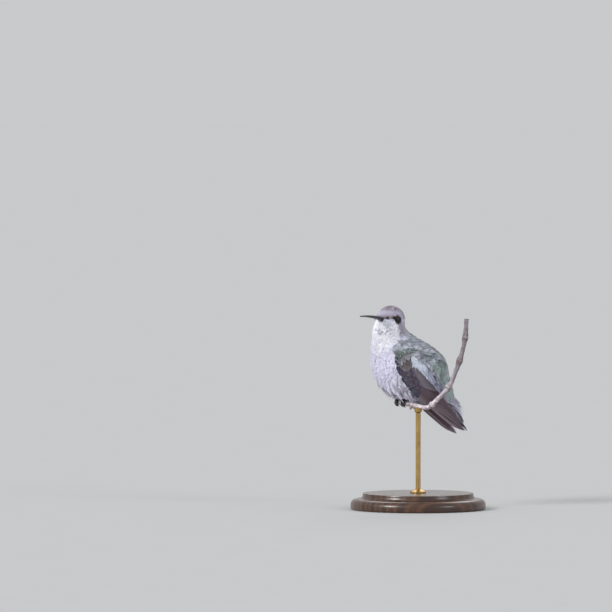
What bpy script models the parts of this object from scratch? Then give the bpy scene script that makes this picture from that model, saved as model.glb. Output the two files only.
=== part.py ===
"""A perched female Costa's hummingbird, life size, as a still display model.

The bird grips a cut length of twig, and a plain stand holds the twig up. +Z is up, the bird's
body points along -X with its left side at -Y, and its head is turned to its left. The origin is
the centre of the stand's underside. Sizes are in millimetres, and MM turns them into metres.
"""

import math

import bmesh
import bpy
from mathutils import Matrix, Vector

MM = 0.001
GAP = 0.3  # clearance between a piece and the neighbour that shapes it
FINE_GAP = 0.12  # the same for the bill's halves, the eyes and the stacked feathers

# Where the bird is: the middle of its body, over the stand.
BODY_CENTRE = Vector((-0.6, 7.0, 56.2))
BODY_PITCH = math.radians(52)  # the body's axis, below the horizontal towards the tail
TAILWARD = Vector((math.cos(BODY_PITCH), 0, -math.sin(BODY_PITCH)))
BACKWARD = Vector((math.sin(BODY_PITCH), 0, math.cos(BODY_PITCH)))  # square to it, out of the back
LEFTWARD = Vector((0, -1, 0))

# Sections across the body's axis, from the tail coverts to inside the head:
# along the axis towards the tail, above it, half height, half width.
BODY_SECTIONS = (
    (21.8, 4.2, 2.7, 4.5),
    (18.0, 3.6, 5.0, 6.5),
    (12.5, 1.9, 9.3, 9.8),
    (6.0, 0.6, 13.2, 12.1),
    (-0.5, -0.8, 13.7, 12.6),
    (-7.0, -1.9, 12.2, 11.6),
    (-12.5, -1.6, 9.9, 9.6),
    (-17.0, 0.6, 8.2, 7.7),
    (-21.0, 3.0, 5.6, 5.4),
)

HEAD_CENTRE = Vector((-8.8, -0.5, 19.2))
HEAD_YAW = math.radians(40)  # turned to the bird's left
HEAD_PITCH = math.radians(4)  # bill raised
FLANK_BALL = ((3.0, 4.3, 0.0), 9.3)  # the fluffed flank over each wing's base: centre, radius
# Sections across the head's axis, from the nape to the feathers round the bill:
# forward of the head's centre, above it, half height, half width.
HEAD_SECTIONS = (
    (-7.3, -0.3, 1.0, 1.0),
    (-6.2, -0.1, 3.6, 3.4),
    (-3.6, 0.1, 5.5, 5.1),
    (0.0, 0.1, 6.1, 5.8),
    (3.0, -0.2, 5.5, 5.1),
    (5.4, -0.7, 4.1, 3.7),
    (7.2, -0.8, 2.6, 2.3),
    (8.6, -0.6, 1.5, 1.3),
)

# The fluffed throat under the bill: forward of the head's centre, above it, radius.
THROAT_BALL = (1.3, -5.2, 6.7)

BILL_ROOT = 8.6  # forward of the head's centre
BILL_RISE = 0.3  # its middle, above the head's axis
BILL_LENGTH = 17.4
BILL_PITCH = math.radians(10)  # how far its root points up
BILL_BEND = math.radians(10)  # how far it curves down from root to tip
BILL_BASE_HALF = (1.0, 0.95)  # half width and half height at the root
BILL_TIP_HALF = (0.3, 0.28)

EYE_RADIUS = 1.8
EYE_ANGLE = math.radians(62)  # from the bill's direction
EYE_DISTANCE = 4.35  # of its centre from the head's
EYE_RISE = 0.3
LID_RADIUS = 2.5  # the hollow in the feathers round the eye
LID_DISTANCE = 7.3

# The folded wing's two edges, from the bend of the wing to the tip: back, out to the side, up.
LEADING_EDGE = (
    (-10.0, 9.9, 7.6),
    (-9.7, 11.9, 0.2),
    (-4.7, 12.1, -7.6),
    (1.0, 10.7, -13.0),
    (6.0, 9.2, -16.6),
    (11.0, 8.3, -20.3),
    (16.4, 7.5, -23.9),
    (21.2, 7.1, -25.6),
)
TRAILING_EDGE = (
    (-4.1, 12.5, 8.6),
    (-2.3, 13.8, 2.6),
    (2.1, 13.8, -3.2),
    (6.8, 12.2, -8.0),
    (11.1, 10.2, -12.4),
    (15.0, 9.0, -16.9),
    (19.0, 7.8, -21.2),
    (21.9, 7.2, -24.9),
)
# How far each wing is turned down about its bend, and then moved: the right one hangs lower.
WING_DROOP = {"left": 0.0, "right": math.radians(4.5)}
WING_SHIFT = {"left": Vector(), "right": Vector((4.3, 0.5, 0.5))}
ARM_END = 0.3  # share of the wing that the coverts hide
ARM_SKEW = 0.12  # how much further they reach along the leading edge than along the other
ARM_THICKNESS = 2.5
FEATHER_THICKNESS = 0.5
# The stacked flight feathers: layer, lowest and highest share across, end share along.
WING_LAYERS = {
    "outer_primaries": (0, 0.0, 0.62, 1.0),
    "middle_primaries": (1, 0.16, 0.9, 0.95),
    "inner_primaries": (2, 0.36, 1.0, 0.82),
    "secondaries": (3, 0.5, 1.0, 0.62),
}

# The tail: pairs of feathers from the top of the stack down, half width across the pair.
TAIL_START = 22.0  # along the body's axis
TAIL_END = 35.0
TAIL_HEIGHT = 3.3  # above the axis
TAIL_PAIR_HALF_WIDTHS = (2.6, 3.1, 3.6, 4.0, 4.3)
TAIL_PAIR_SHORTER = (0.6, 0.0, 0.2, 0.7, 1.5)
TAIL_CAMBER = 0.9  # how far the tail's sides hang below its middle

# The twig's middle line, from the broken end under the bird to the cut end.
TWIG_ROUTE = (
    (-4.0, 4.8, -13.7),
    (-3.5, 1.6, -13.7),
    (-2.7, -2.5, -14.0),
    (0.6, -7.0, -15.1),
    (3.4, -11.0, -15.3),
    (5.9, -13.7, -12.2),
    (10.2, -15.2, -7.4),
    (13.1, -15.9, -1.0),
    (15.5, -16.3, 6.0),
    (17.0, -16.3, 12.4),
    (17.6, -16.2, 20.0),
)
TWIG_RADIUS = 0.95
TWIG_KNOTS = (0.12, 0.27, 0.44, 0.6, 0.76, 0.9)  # shares of the route where the twig swells
KNOT_SWELL = 0.4
KNOT_REACH = 0.022

# Broken side shoots at the end: share of the route, then the shoot's path from there, radius.
TWIG_SPURS = {
    "twig_spur": (0.26, ((-0.5, -0.4, 1.2), (-1.4, 0.1, 2.0)), 0.6),
    "twig_stub": (0.243, ((-0.1, 0.0, -1.0), (-0.4, -0.1, -1.8)), 0.75),
}

FOOT_SHARES = {"left": 0.19, "right": 0.075}  # where each foot grips, along the route
FOOT_SIDE = {"left": -1, "right": 1}
FOOT_ROOM = 1.9  # radius of the hollow in the belly over each foot
SHANK_RADIUS = 0.55
SHANK_TOP = Vector((-0.6, 2.5, -10.2))  # where the feathers hide the leg
TOE_RADIUS = 0.36
TOE_SPREAD = (-0.85, 0.0, 0.85)  # the front toes, along the twig
TOE_SWEEP = math.radians(118)  # how far a front toe curls round the twig
HIND_SWEEP = math.radians(-100)
TOE_STEPS = 8
CLAW_START = math.radians(14)  # past the end of the toe's middle line
CLAW_SWEEP = math.radians(34)

BASE_RADIUS = 27.0
BASE_HEIGHT = 6.5
ROD_RADIUS = 1.0
COLLAR_RADIUS = 1.5
COLLAR_HEIGHT = 2.2
COLLAR_SINK = 0.25  # how far below the twig's middle line the collar's rim stops

COLOURS = {  # base colour, roughness, metallic
    "head": ((0.60, 0.57, 0.60), 0.85, 0.0),
    "throat": ((0.80, 0.79, 0.84), 0.9, 0.0),
    "body": ((0.62, 0.63, 0.64), 0.9, 0.0),
    "flight": ((0.17, 0.13, 0.15), 0.6, 0.0),
    "coverts": ((0.30, 0.34, 0.31), 0.7, 0.0),
    "tail": ((0.12, 0.16, 0.14), 0.55, 0.0),
    "bill": ((0.03, 0.03, 0.035), 0.35, 0.0),
    "eye": ((0.01, 0.008, 0.008), 0.05, 0.0),
    "foot": ((0.07, 0.06, 0.07), 0.6, 0.0),
    "claw": ((0.02, 0.02, 0.02), 0.4, 0.0),
    "bark": ((0.55, 0.50, 0.52), 0.8, 0.0),
    "wood": ((0.10, 0.05, 0.03), 0.4, 0.0),
    "brass": ((0.75, 0.58, 0.28), 0.3, 1.0),
}


def placed(point):
    """A point given from the middle of the bird's body, in millimetres, as a place in metres."""
    return (BODY_CENTRE + Vector(point)) * MM


def on_curve(values, share):
    """The value at a share from 0 to 1 of a smooth curve through evenly spaced values."""
    last = len(values) - 1
    start = min(max(int(share * last), 0), last - 1)
    u = share * last - start
    a, b, c, d = (Vector(values[min(max(start + step, 0), last)]) for step in (-1, 0, 1, 2))
    bend = (a * 2 - b * 5 + c * 4 - d) * u**2 + (b * 3 - a - c * 3 + d) * u**3
    return (b * 2 + (c - a) * u + bend) / 2


def shares(count, start=0.0, end=1.0):
    return [start + (end - start) * i / (count - 1) for i in range(count)]


# Scene and materials


def cleared_collections():
    for old in list(bpy.data.objects):
        bpy.data.objects.remove(old, do_unlink=True)
    made = []
    for name in ("hummingbird", "cutters"):
        collection = bpy.data.collections.new(name)
        bpy.context.scene.collection.children.link(collection)
        made.append(collection)
    return made


def material(kind):
    found = bpy.data.materials.get(kind)
    if found:
        return found
    colour, roughness, metallic = COLOURS[kind]
    made = bpy.data.materials.new(kind)
    made.use_nodes = True
    shader = made.node_tree.nodes["Principled BSDF"]
    shader.inputs["Base Color"].default_value = (*colour, 1)
    shader.inputs["Roughness"].default_value = roughness
    shader.inputs["Metallic"].default_value = metallic
    made.diffuse_color = (*colour, 1)
    return made


def add(name, data, kind, collection=None):
    obj = bpy.data.objects.new(name, data)
    (collection or PARTS).objects.link(obj)
    data.materials.clear()
    data.materials.append(material(kind))
    if isinstance(data, bpy.types.Mesh):
        data.shade_smooth()
        data.set_sharp_from_angle(angle=math.radians(50))
    return obj


def baked(obj, name, kind, collection=None):
    """A mesh object with what obj looks like once its modifiers or bevel have run. obj is removed."""
    bpy.context.view_layer.update()
    evaluated = obj.evaluated_get(bpy.context.evaluated_depsgraph_get())
    mesh = bpy.data.meshes.new_from_object(evaluated)
    mesh.transform(obj.matrix_world)
    bm = bmesh.new()
    bm.from_mesh(mesh)
    bmesh.ops.remove_doubles(bm, verts=bm.verts, dist=1e-6)
    bmesh.ops.recalc_face_normals(bm, faces=bm.faces)
    bm.to_mesh(mesh)
    bm.free()
    bpy.data.objects.remove(obj, do_unlink=True)
    return add(name, mesh, kind, collection)


# Shapes


def loft_mesh(name, rings):
    """A closed mesh through rings that each have the same number of points."""
    bm = bmesh.new()
    loops = [[bm.verts.new(point) for point in ring] for ring in rings]
    for near, far in zip(loops, loops[1:]):
        for i in range(len(near)):
            bm.faces.new((near[i - 1], near[i], far[i], far[i - 1]))
    bm.faces.new(loops[0])
    bm.faces.new(loops[-1])
    bmesh.ops.recalc_face_normals(bm, faces=bm.faces)
    mesh = bpy.data.meshes.new(name)
    bm.to_mesh(mesh)
    bm.free()
    return mesh


def oval(centre, side, up, half_width, half_height, sides):
    turns = [2 * math.pi * i / sides for i in range(sides)]
    return [placed(centre + side * half_width * math.cos(t) + up * half_height * math.sin(t)) for t in turns]


def tube(name, points, radii, kind, sides=8, collection=None):
    """A tube through points, as a curve with a bevel, made a mesh."""
    curve = bpy.data.curves.new(name, "CURVE")
    curve.dimensions = "3D"
    curve.bevel_depth = MM
    curve.bevel_resolution = max(0, sides // 2 - 2)
    curve.use_fill_caps = True
    spline = curve.splines.new("POLY")
    spline.points.add(len(points) - 1)
    for corner, point, radius in zip(spline.points, points, radii):
        corner.co = (*placed(point), 1)
        corner.radius = radius
    return baked(add(f"{name}_line", curve, kind, collection), name, kind, collection)


def ball(name, centre, radius, kind, collection=None, segments=12, rings=8):
    bm = bmesh.new()
    bmesh.ops.create_uvsphere(bm, u_segments=segments, v_segments=rings, radius=radius * MM)
    bmesh.ops.translate(bm, verts=bm.verts, vec=placed(centre))
    mesh = bpy.data.meshes.new(name)
    bm.to_mesh(mesh)
    bm.free()
    return add(name, mesh, kind, collection)


def turned(name, centre, profile, kind, sides=40):
    """A turned piece on a vertical axis, from a profile of (radius, height) from its top to its foot."""
    mesh = bpy.data.meshes.new(name)
    corners = [(radius * MM, 0, height * MM) for radius, height in profile]
    mesh.from_pydata(corners, [(i, i + 1) for i in range(len(corners) - 1)], [])
    obj = add(f"{name}_profile", mesh, kind)
    obj.location = centre
    screw = obj.modifiers.new("turn", "SCREW")
    screw.steps = screw.render_steps = sides
    screw.use_merge_vertices = True
    screw.merge_threshold = 1e-5
    return baked(obj, name, kind)


def thinned(obj, kept):
    """Leaves the share kept of a mesh's faces, after everything else is done to it."""
    fewer = obj.modifiers.new("fewer", "DECIMATE")
    fewer.ratio = kept


def carve(obj, cutter):
    """Cuts obj by a mesh that is left out of the model."""
    cutter.hide_render = True
    cutter.display_type = "WIRE"
    cut = obj.modifiers.new(cutter.name, "BOOLEAN")
    cut.operation = "DIFFERENCE"
    cut.solver = "EXACT"
    cut.object = cutter


def sliced(source, name, kind, planes):
    """The part of a mesh behind every plane, given as (point, normal), closed where it is cut."""
    bm = bmesh.new()
    bm.from_mesh(source.data)
    for point, normal in planes:
        everything = bm.verts[:] + bm.edges[:] + bm.faces[:]
        bmesh.ops.bisect_plane(
            bm, geom=everything, dist=1e-7, plane_co=placed(point), plane_no=normal, clear_outer=True
        )
        bmesh.ops.contextual_create(bm, geom=[edge for edge in bm.edges if edge.is_boundary])
    bmesh.ops.triangulate(bm, faces=bm.faces)
    mesh = bpy.data.meshes.new(name)
    bm.to_mesh(mesh)
    bm.free()
    return add(name, mesh, kind)


def fused(name, pieces, kind, voxel, smoothing, kept, collection=None):
    """One closed skin over overlapping pieces, which are removed."""
    bm = bmesh.new()
    for piece in pieces:
        bm.from_mesh(piece.data)
        bpy.data.objects.remove(piece, do_unlink=True)
    mesh = bpy.data.meshes.new(name)
    bm.to_mesh(mesh)
    bm.free()
    obj = add(f"{name}_pieces", mesh, kind, collection)
    remesh = obj.modifiers.new("remesh", "REMESH")
    remesh.mode, remesh.voxel_size = "VOXEL", voxel * MM
    smooth = obj.modifiers.new("smooth", "SMOOTH")
    smooth.factor, smooth.iterations = 0.5, smoothing
    thinned(obj, kept)
    return baked(obj, name, kind, collection)


# The body and head


def head_axes():
    """Forward along the bill, out of the head's left side, and up."""
    forward = Vector((-math.cos(HEAD_YAW), -math.sin(HEAD_YAW), math.tan(HEAD_PITCH))).normalized()
    left = Vector((0, 0, 1)).cross(forward).normalized()
    return forward, left, forward.cross(left)


def body_form():
    sides, steps = 36, 34
    rings = []
    for share in shares(steps):
        along, above, half_height, half_width = on_curve(BODY_SECTIONS, share)
        centre = TAILWARD * along + BACKWARD * above
        rings.append(oval(centre, LEFTWARD, BACKWARD, half_width, half_height, sides))
    return add("body_form", loft_mesh("body_form", rings), "body", CUTTERS)


def head_form():
    forward, left, up = head_axes()
    sides, steps = 32, 26
    rings = []
    for share in shares(steps):
        ahead, above, half_height, half_width = on_curve(HEAD_SECTIONS, share)
        centre = HEAD_CENTRE + forward * ahead + up * above
        rings.append(oval(centre, left, up, half_width, half_height, sides))
    return add("head_form", loft_mesh("head_form", rings), "head", CUTTERS)


def throat_form():
    forward, _, up = head_axes()
    ahead, above, radius = THROAT_BALL
    centre = HEAD_CENTRE + forward * ahead + up * above
    return ball("throat_form", centre, radius, "throat", CUTTERS, segments=32, rings=20)


def flank_forms():
    (back, out, up), radius = FLANK_BALL
    return [
        ball(f"flank_{side}", (back, out * sign, up), radius, "body", CUTTERS, segments=32, rings=20)
        for side, sign in FOOT_SIDE.items()
    ]


def body_parts():
    """Head, neck and trunk, parted by thin flat cuts."""
    forms = [body_form(), head_form(), throat_form(), *flank_forms()]
    whole = fused("whole_body", forms, "body", 0.5, 10, 0.25, CUTTERS)
    nape, throat = Vector((-1.2, 0, 15.4)), Vector((-16.5, 0, 12.6))
    back, breast = Vector((1.8, 0, 12.0)), Vector((-17.5, 0, 6.6))
    head_cut = (nape - throat).normalized()
    head_up = Vector((-head_cut.z, 0, head_cut.x))
    trunk_cut = (back - breast).normalized()
    trunk_up = Vector((-trunk_cut.z, 0, trunk_cut.x))
    head = sliced(whole, "head", "head", [(nape + head_up * GAP / 2, -head_up)])
    neck = sliced(
        whole, "neck", "throat", [(nape - head_up * GAP / 2, head_up), (back + trunk_up * GAP / 2, -trunk_up)]
    )
    tail_plane = TAILWARD * (TAIL_START - GAP)
    trunk = sliced(
        whole, "trunk", "body", [(back - trunk_up * GAP / 2, trunk_up), (tail_plane, TAILWARD)]
    )
    bpy.data.objects.remove(whole, do_unlink=True)
    return head, neck, trunk


def eyes(head):
    """Each eye in its socket, which is wider by the gap, and a shallow hollow round it."""
    forward, left, up = head_axes()
    for side, sign in (("left", 1), ("right", -1)):
        outward = forward * math.cos(EYE_ANGLE) + left * sign * math.sin(EYE_ANGLE)
        centre = HEAD_CENTRE + up * EYE_RISE + outward * EYE_DISTANCE
        ball(f"eye_{side}", centre, EYE_RADIUS, "eye")
        carve(head, ball(f"socket_{side}", centre, EYE_RADIUS + FINE_GAP, "eye", CUTTERS))
        hollow = HEAD_CENTRE + up * EYE_RISE + outward * LID_DISTANCE
        carve(head, ball(f"lid_{side}", hollow, LID_RADIUS, "eye", CUTTERS))


def bill(head):
    """Upper and lower bill, each a half of one slightly down-curved taper, and their socket."""
    forward, left, up = head_axes()
    root = HEAD_CENTRE + forward * BILL_ROOT + up * BILL_RISE
    tilt = Matrix.Rotation(BILL_PITCH - HEAD_PITCH, 3, forward.cross(up))
    forward, up = tilt @ forward, tilt @ up

    def taper(name, turns, flat, grown, collection=None):
        """A taper whose sections take in the given turns, moved off its middle by flat."""
        rings = []
        for share in shares(9, -0.1 - grown * 0.1):
            sink = BILL_LENGTH * BILL_BEND * share * abs(share) / 2
            centre = root + forward * BILL_LENGTH * share - up * (sink - flat)
            narrowing = max(share, 0) ** 0.8
            wide, high = (b + (t - b) * narrowing + grown for b, t in zip(BILL_BASE_HALF, BILL_TIP_HALF))
            high -= abs(flat)
            offsets = [left * wide * math.cos(turn) + up * high * math.sin(turn) for turn in turns]
            rings.append([placed(centre + offset) for offset in offsets])
        return add(name, loft_mesh(name, rings), "bill", collection)

    taper("bill_upper", shares(6, 0, math.pi), FINE_GAP / 2, 0)
    taper("bill_lower", shares(6, math.pi, 2 * math.pi), -FINE_GAP / 2, 0)
    carve(head, taper("bill_socket", shares(13, 0, 2 * math.pi)[:-1], 0, FINE_GAP, CUTTERS))


# The wings


def wing_frame(side, along, across):
    """A point on the folded wing's outer face, and the way out of it."""

    def point(s, c):
        skew = min(s / ARM_END, (1 - s) / (1 - ARM_END)) * ARM_SKEW
        s = min(max(s + skew * (0.5 - c), 0), 1)
        low, high = on_curve(LEADING_EDGE, s), on_curve(TRAILING_EDGE, s)
        found = low + (high - low) * c
        droop = Matrix.Rotation(WING_DROOP[side], 3, "Y")
        bend = Vector(LEADING_EDGE[0])
        found = bend + droop @ (found - bend) + WING_SHIFT[side]
        found.y *= FOOT_SIDE[side]
        return found

    step = 0.01
    run = point(min(along + step, 1), across) - point(max(along - step, 0), across)
    rise = point(along, across + step) - point(along, across - step)
    outward = run.cross(rise).normalized()
    if outward.y * FOOT_SIDE[side] < 0:
        outward.negate()
    return point(along, across), outward


def wing_ring(side, along, low, high, top, thickness, count=4):
    """Points round a section across the wing, from depth top under its outer face."""
    ring = []
    for across in shares(count, low, high):
        face, outward = wing_frame(side, along, across)
        ring.append(placed(face - outward * top))
    for across in shares(count, high, low):
        face, outward = wing_frame(side, along, across)
        ring.append(placed(face - outward * (top + thickness)))
    return ring


def wing_arm(side, trunk):
    """The coverts over the hand and forearm, a pad that thins towards its rim."""
    steps, count = 8, 8

    def rings(grown):
        made = []
        for share in shares(steps):
            along = ARM_END * share
            round_end = math.sqrt(max(0.0, 1 - (1 - min(share * 3, 1)) ** 2))
            low = 0.5 - (0.54 + grown * 0.06) * max(round_end, 0.12)
            high = 0.5 + (0.5 + grown * 0.06) * max(round_end, 0.12)
            ring = []
            for up_side in (True, False):
                row = shares(count, low, high) if up_side else shares(count, high, low)
                for across in row:
                    face, outward = wing_frame(side, along, across)
                    bulge = math.sqrt(max(0.0, 1 - ((across - (low + high) / 2) / (high - low) * 2) ** 2))
                    half = ARM_THICKNESS / 2 * (0.35 + 0.65 * bulge) * (0.55 + 0.45 * round_end) + grown
                    middle = face - outward * ARM_THICKNESS / 2
                    ring.append(placed(middle + outward * half * (1 if up_side else -1)))
            made.append(ring)
        return made

    name = f"wing_{side}_arm"
    add(name, loft_mesh(name, rings(0.0)), "coverts")
    carve(trunk, add(f"{name}_bed", loft_mesh(name, rings(GAP)), "coverts", CUTTERS))


def wing_feathers(side, trunk):
    """The flight feathers in four stacked blades, the outer primaries nearest the body."""
    steps = 11
    deepest = len(WING_LAYERS) - 1
    for name, (layer, low, high, end) in WING_LAYERS.items():
        top = (deepest - layer) * (FEATHER_THICKNESS + FINE_GAP)
        rings = []
        for share in shares(steps, ARM_END + 0.01, end):
            to_tip = (end - share) / (end - ARM_END)
            narrow = math.sqrt(max(0.0, 1 - (1 - min(to_tip * 3.2, 1)) ** 2.2))
            narrow = max(narrow, 0.08)
            middle = low + (high - low) * (0.62 if layer else 0.7)
            at_low = middle - (middle - low) * narrow
            at_high = middle + (high - middle) * narrow
            rings.append(wing_ring(side, share, at_low, at_high, top, FEATHER_THICKNESS))
        full = f"wing_{side}_{name}"
        add(full, loft_mesh(full, rings), "flight")
    bed = [
        wing_ring(side, share, -0.08, 1.06, -GAP, ARM_THICKNESS + 2 * GAP)
        for share in shares(steps, ARM_END - 0.02, 1.0)
    ]
    carve(trunk, add(f"wing_{side}_bed", loft_mesh(f"wing_{side}_bed", bed), "flight", CUTTERS))


# The tail


def tail_pairs():
    """Five stacked pairs of tail feathers, the middle pair on top."""
    steps, count = 8, 5
    pitch = FEATHER_THICKNESS + FINE_GAP
    for number, (half, shorter) in enumerate(zip(TAIL_PAIR_HALF_WIDTHS, TAIL_PAIR_SHORTER)):
        top = TAIL_HEIGHT + pitch * (2 - number) + FEATHER_THICKNESS / 2
        end = TAIL_END - shorter
        rings = []
        for share in shares(steps):
            along = TAIL_START + (end - TAIL_START) * share
            widening = 0.72 + 0.28 * math.sin(min(share * 1.6, 1) * math.pi / 2)
            rounding = math.sqrt(max(0.02, 1 - max(0.0, (share - 0.72) / 0.28) ** 2.4))
            ring = []
            for top_side in (True, False):
                row = shares(count, -1, 1) if top_side else shares(count, 1, -1)
                for across in row:
                    aside = across * half * widening * rounding
                    height = top - TAIL_CAMBER * (aside / TAIL_PAIR_HALF_WIDTHS[-1]) ** 2
                    height -= 0 if top_side else FEATHER_THICKNESS
                    ring.append(placed(TAILWARD * along + BACKWARD * height + LEFTWARD * aside))
            rings.append(ring)
        name = f"tail_pair_{number + 1}"
        add(name, loft_mesh(name, rings), "tail")


# The twig and the feet


def twig_point(share):
    return on_curve(TWIG_ROUTE, share)


def twig_direction(share):
    return (twig_point(min(share + 0.01, 1)) - twig_point(max(share - 0.01, 0))).normalized()


def twig_radius(share):
    swell = sum(math.exp(-(((share - knot) / KNOT_REACH) ** 2)) for knot in TWIG_KNOTS)
    worn_end = 0.72 + 0.28 * min(share / 0.05, 1)
    return (TWIG_RADIUS + KNOT_SWELL * swell) * worn_end


def twig(trunk):
    points = shares(64)
    route = [twig_point(share) for share in points]
    pieces = [tube("twig_stem", route, [twig_radius(share) for share in points], "bark")]
    for name, (share, offsets, radius) in TWIG_SPURS.items():
        start = twig_point(share)
        line = [start + Vector(offset) for offset in ((0, 0, 0), *offsets)]
        pieces.append(tube(name, line, [radius, radius * 0.9, radius * 0.55], "bark"))
    fused("perch_twig", pieces, "bark", 0.22, 1, 0.038)
    near = [share for share in shares(40, 0, 0.5)]
    grown = [twig_radius(share) + GAP for share in near]
    carve(trunk, tube("twig_bed", [twig_point(share) for share in near], grown, "bark", collection=CUTTERS))


def round_twig(share, shift, angle, distance):
    """A point round the twig: angle 0 is on top, and positive angles go down its front."""
    direction = twig_direction(share)
    up = (Vector((0, 0, 1)) - direction * direction.z).normalized()
    front = direction.cross(up)
    if front.x > 0:
        front.negate()
    centre = twig_point(share) + direction * shift
    return centre + (up * math.cos(angle) + front * math.sin(angle)) * distance


def foot(side, trunk):
    """One leg: a shank out of the feathers, three front toes, a hind toe, and a claw on each."""
    share = FOOT_SHARES[side]
    reach = twig_radius(share) + TOE_RADIUS + FINE_GAP
    ankle = round_twig(share, 0, 0, reach + 1.25)
    top = SHANK_TOP.copy()
    top.y *= FOOT_SIDE[side]
    tube(f"leg_{side}", [top, (top + ankle) / 2, ankle], [SHANK_RADIUS] * 3, "foot")
    bed = [top - (ankle - top) * 0.3, ankle, round_twig(share, 0, 0, reach), twig_point(share)]
    wide = SHANK_RADIUS + GAP
    carve(trunk, tube(f"leg_{side}_bed", bed, [wide, wide, FOOT_ROOM, FOOT_ROOM], "foot", collection=CUTTERS))
    toes = [tube(f"pad_{side}", [round_twig(share, 0, t, reach) for t in (-0.5, 0, 0.5)], [0.5] * 3, "foot")]
    digits = [(f"front_{i + 1}", spread, TOE_SWEEP) for i, spread in enumerate(TOE_SPREAD)]
    for label, spread, sweep in [*digits, ("hind", 0.0, HIND_SWEEP)]:
        route, radii = [], []
        for i, angle in enumerate(shares(TOE_STEPS, 0, sweep)):
            spreading = math.sin(min(i / (TOE_STEPS - 2), 1) * math.pi / 2)
            route.append(round_twig(share, spread * spreading, angle, reach))
            radii.append(TOE_RADIUS * (1.0 - 0.2 * i / (TOE_STEPS - 1)))
        toes.append(tube(f"toe_{side}_{label}", route, radii, "foot"))
        past = math.copysign(CLAW_START, sweep)
        angles = shares(4, sweep + past, sweep + past + math.copysign(CLAW_SWEEP, sweep))
        route = [round_twig(share, spread, angle, reach + 0.3 * i / 3) for i, angle in enumerate(angles)]
        tube(f"claw_{side}_{label}", route, [0.27, 0.22, 0.15, 0.07], "claw", sides=6)
    fused(f"foot_{side}", toes, "foot", 0.1, 2, 0.07)


# The stand


def stand():
    """A turned wooden base, a brass rod, and a collar that holds the twig from below."""
    share = min(shares(200), key=lambda s: (twig_point(s).xy + BODY_CENTRE.xy).length)
    seat = twig_point(share) + BODY_CENTRE
    rim = seat.z - COLLAR_SINK - TWIG_RADIUS * 0.2
    profile = [
        (0, BASE_HEIGHT),
        (BASE_RADIUS - 5.0, BASE_HEIGHT),
        (BASE_RADIUS - 4.4, BASE_HEIGHT - 0.6),
        (BASE_RADIUS - 4.0, BASE_HEIGHT - 1.6),
        (BASE_RADIUS - 1.4, BASE_HEIGHT - 2.2),
        (BASE_RADIUS - 0.4, BASE_HEIGHT - 3.2),
        (BASE_RADIUS, BASE_HEIGHT - 4.6),
        (BASE_RADIUS - 0.3, 0.5),
        (BASE_RADIUS - 0.8, 0),
        (0, 0),
    ]
    turned("stand_base", (0, 0, 0), profile, "wood")
    foot_plate, foot_height = 3.2, 1.0
    start = BASE_HEIGHT + 0.1
    rod = [
        (0, rim - COLLAR_HEIGHT),
        (ROD_RADIUS, rim - COLLAR_HEIGHT),
        (ROD_RADIUS, start + foot_height + 0.6),
        (foot_plate * 0.7, start + foot_height),
        (foot_plate, start + foot_height * 0.6),
        (foot_plate, start),
        (0, start),
    ]
    turned("stand_rod", (0, 0, 0), rod, "brass", sides=20)
    low = rim - COLLAR_HEIGHT + 0.1
    collar = [(0, rim), (COLLAR_RADIUS, rim), (COLLAR_RADIUS, low + 0.5), (ROD_RADIUS, low), (0, low)]
    holder = turned("stand_collar", (0, 0, 0), collar, "brass", sides=24)
    near = shares(12, share - 0.1, share + 0.1)
    grown = [twig_radius(s) + FINE_GAP for s in near]
    carve(holder, tube("collar_bed", [twig_point(s) for s in near], grown, "bark", collection=CUTTERS))


PARTS, CUTTERS = cleared_collections()


def main():
    head, neck, trunk = body_parts()
    eyes(head)
    bill(head)
    for side in ("left", "right"):
        wing_arm(side, trunk)
        wing_feathers(side, trunk)
    tail_pairs()
    twig(trunk)
    for side in ("left", "right"):
        foot(side, trunk)
    thinned(head, 0.34)
    thinned(neck, 0.34)
    thinned(trunk, 0.25)
    stand()


main()
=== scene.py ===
"""The looks of a perched female Costa's hummingbird on its twig and stand.

One skin lies under the whole body, and every feather over it is solid mesh: tufts of barbs on the
head and body, vanes on the wings and tail. Sizes are in millimetres from the middle of the bird's
body, as in part.py, and to_world() turns them into metres on the stand.
"""

import math
from collections import namedtuple

import bmesh
import bpy
import numpy as np
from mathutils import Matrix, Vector
from mathutils.bvhtree import BVHTree
from mathutils.kdtree import KDTree


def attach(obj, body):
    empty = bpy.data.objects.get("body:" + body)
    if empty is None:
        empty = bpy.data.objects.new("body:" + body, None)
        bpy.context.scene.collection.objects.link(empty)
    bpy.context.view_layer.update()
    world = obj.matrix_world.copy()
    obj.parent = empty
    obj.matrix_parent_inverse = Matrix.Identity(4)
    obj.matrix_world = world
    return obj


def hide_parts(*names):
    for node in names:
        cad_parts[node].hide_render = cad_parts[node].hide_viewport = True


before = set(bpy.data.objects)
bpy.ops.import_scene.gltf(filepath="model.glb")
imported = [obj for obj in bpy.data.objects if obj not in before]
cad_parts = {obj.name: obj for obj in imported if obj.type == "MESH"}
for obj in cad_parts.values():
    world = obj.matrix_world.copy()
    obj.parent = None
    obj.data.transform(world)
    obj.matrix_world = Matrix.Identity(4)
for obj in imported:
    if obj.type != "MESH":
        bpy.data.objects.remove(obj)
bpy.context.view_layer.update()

MM = 0.001
RNG = np.random.default_rng(7)

# The bird's pose, as in part.py.
BODY_CENTRE = np.array((-0.6, 7.0, 56.2))
BODY_PITCH = math.radians(52)
TAILWARD = np.array((math.cos(BODY_PITCH), 0, -math.sin(BODY_PITCH)))
BACKWARD = np.array((math.sin(BODY_PITCH), 0, math.cos(BODY_PITCH)))
LEFTWARD = np.array((0.0, -1.0, 0.0))
SIDE_SIGN = {"left": -1, "right": 1}
HEAD_CENTRE = np.array((-8.8, -0.5, 19.2))
HEAD_YAW = math.radians(40)
HEAD_PITCH = math.radians(4)

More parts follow.
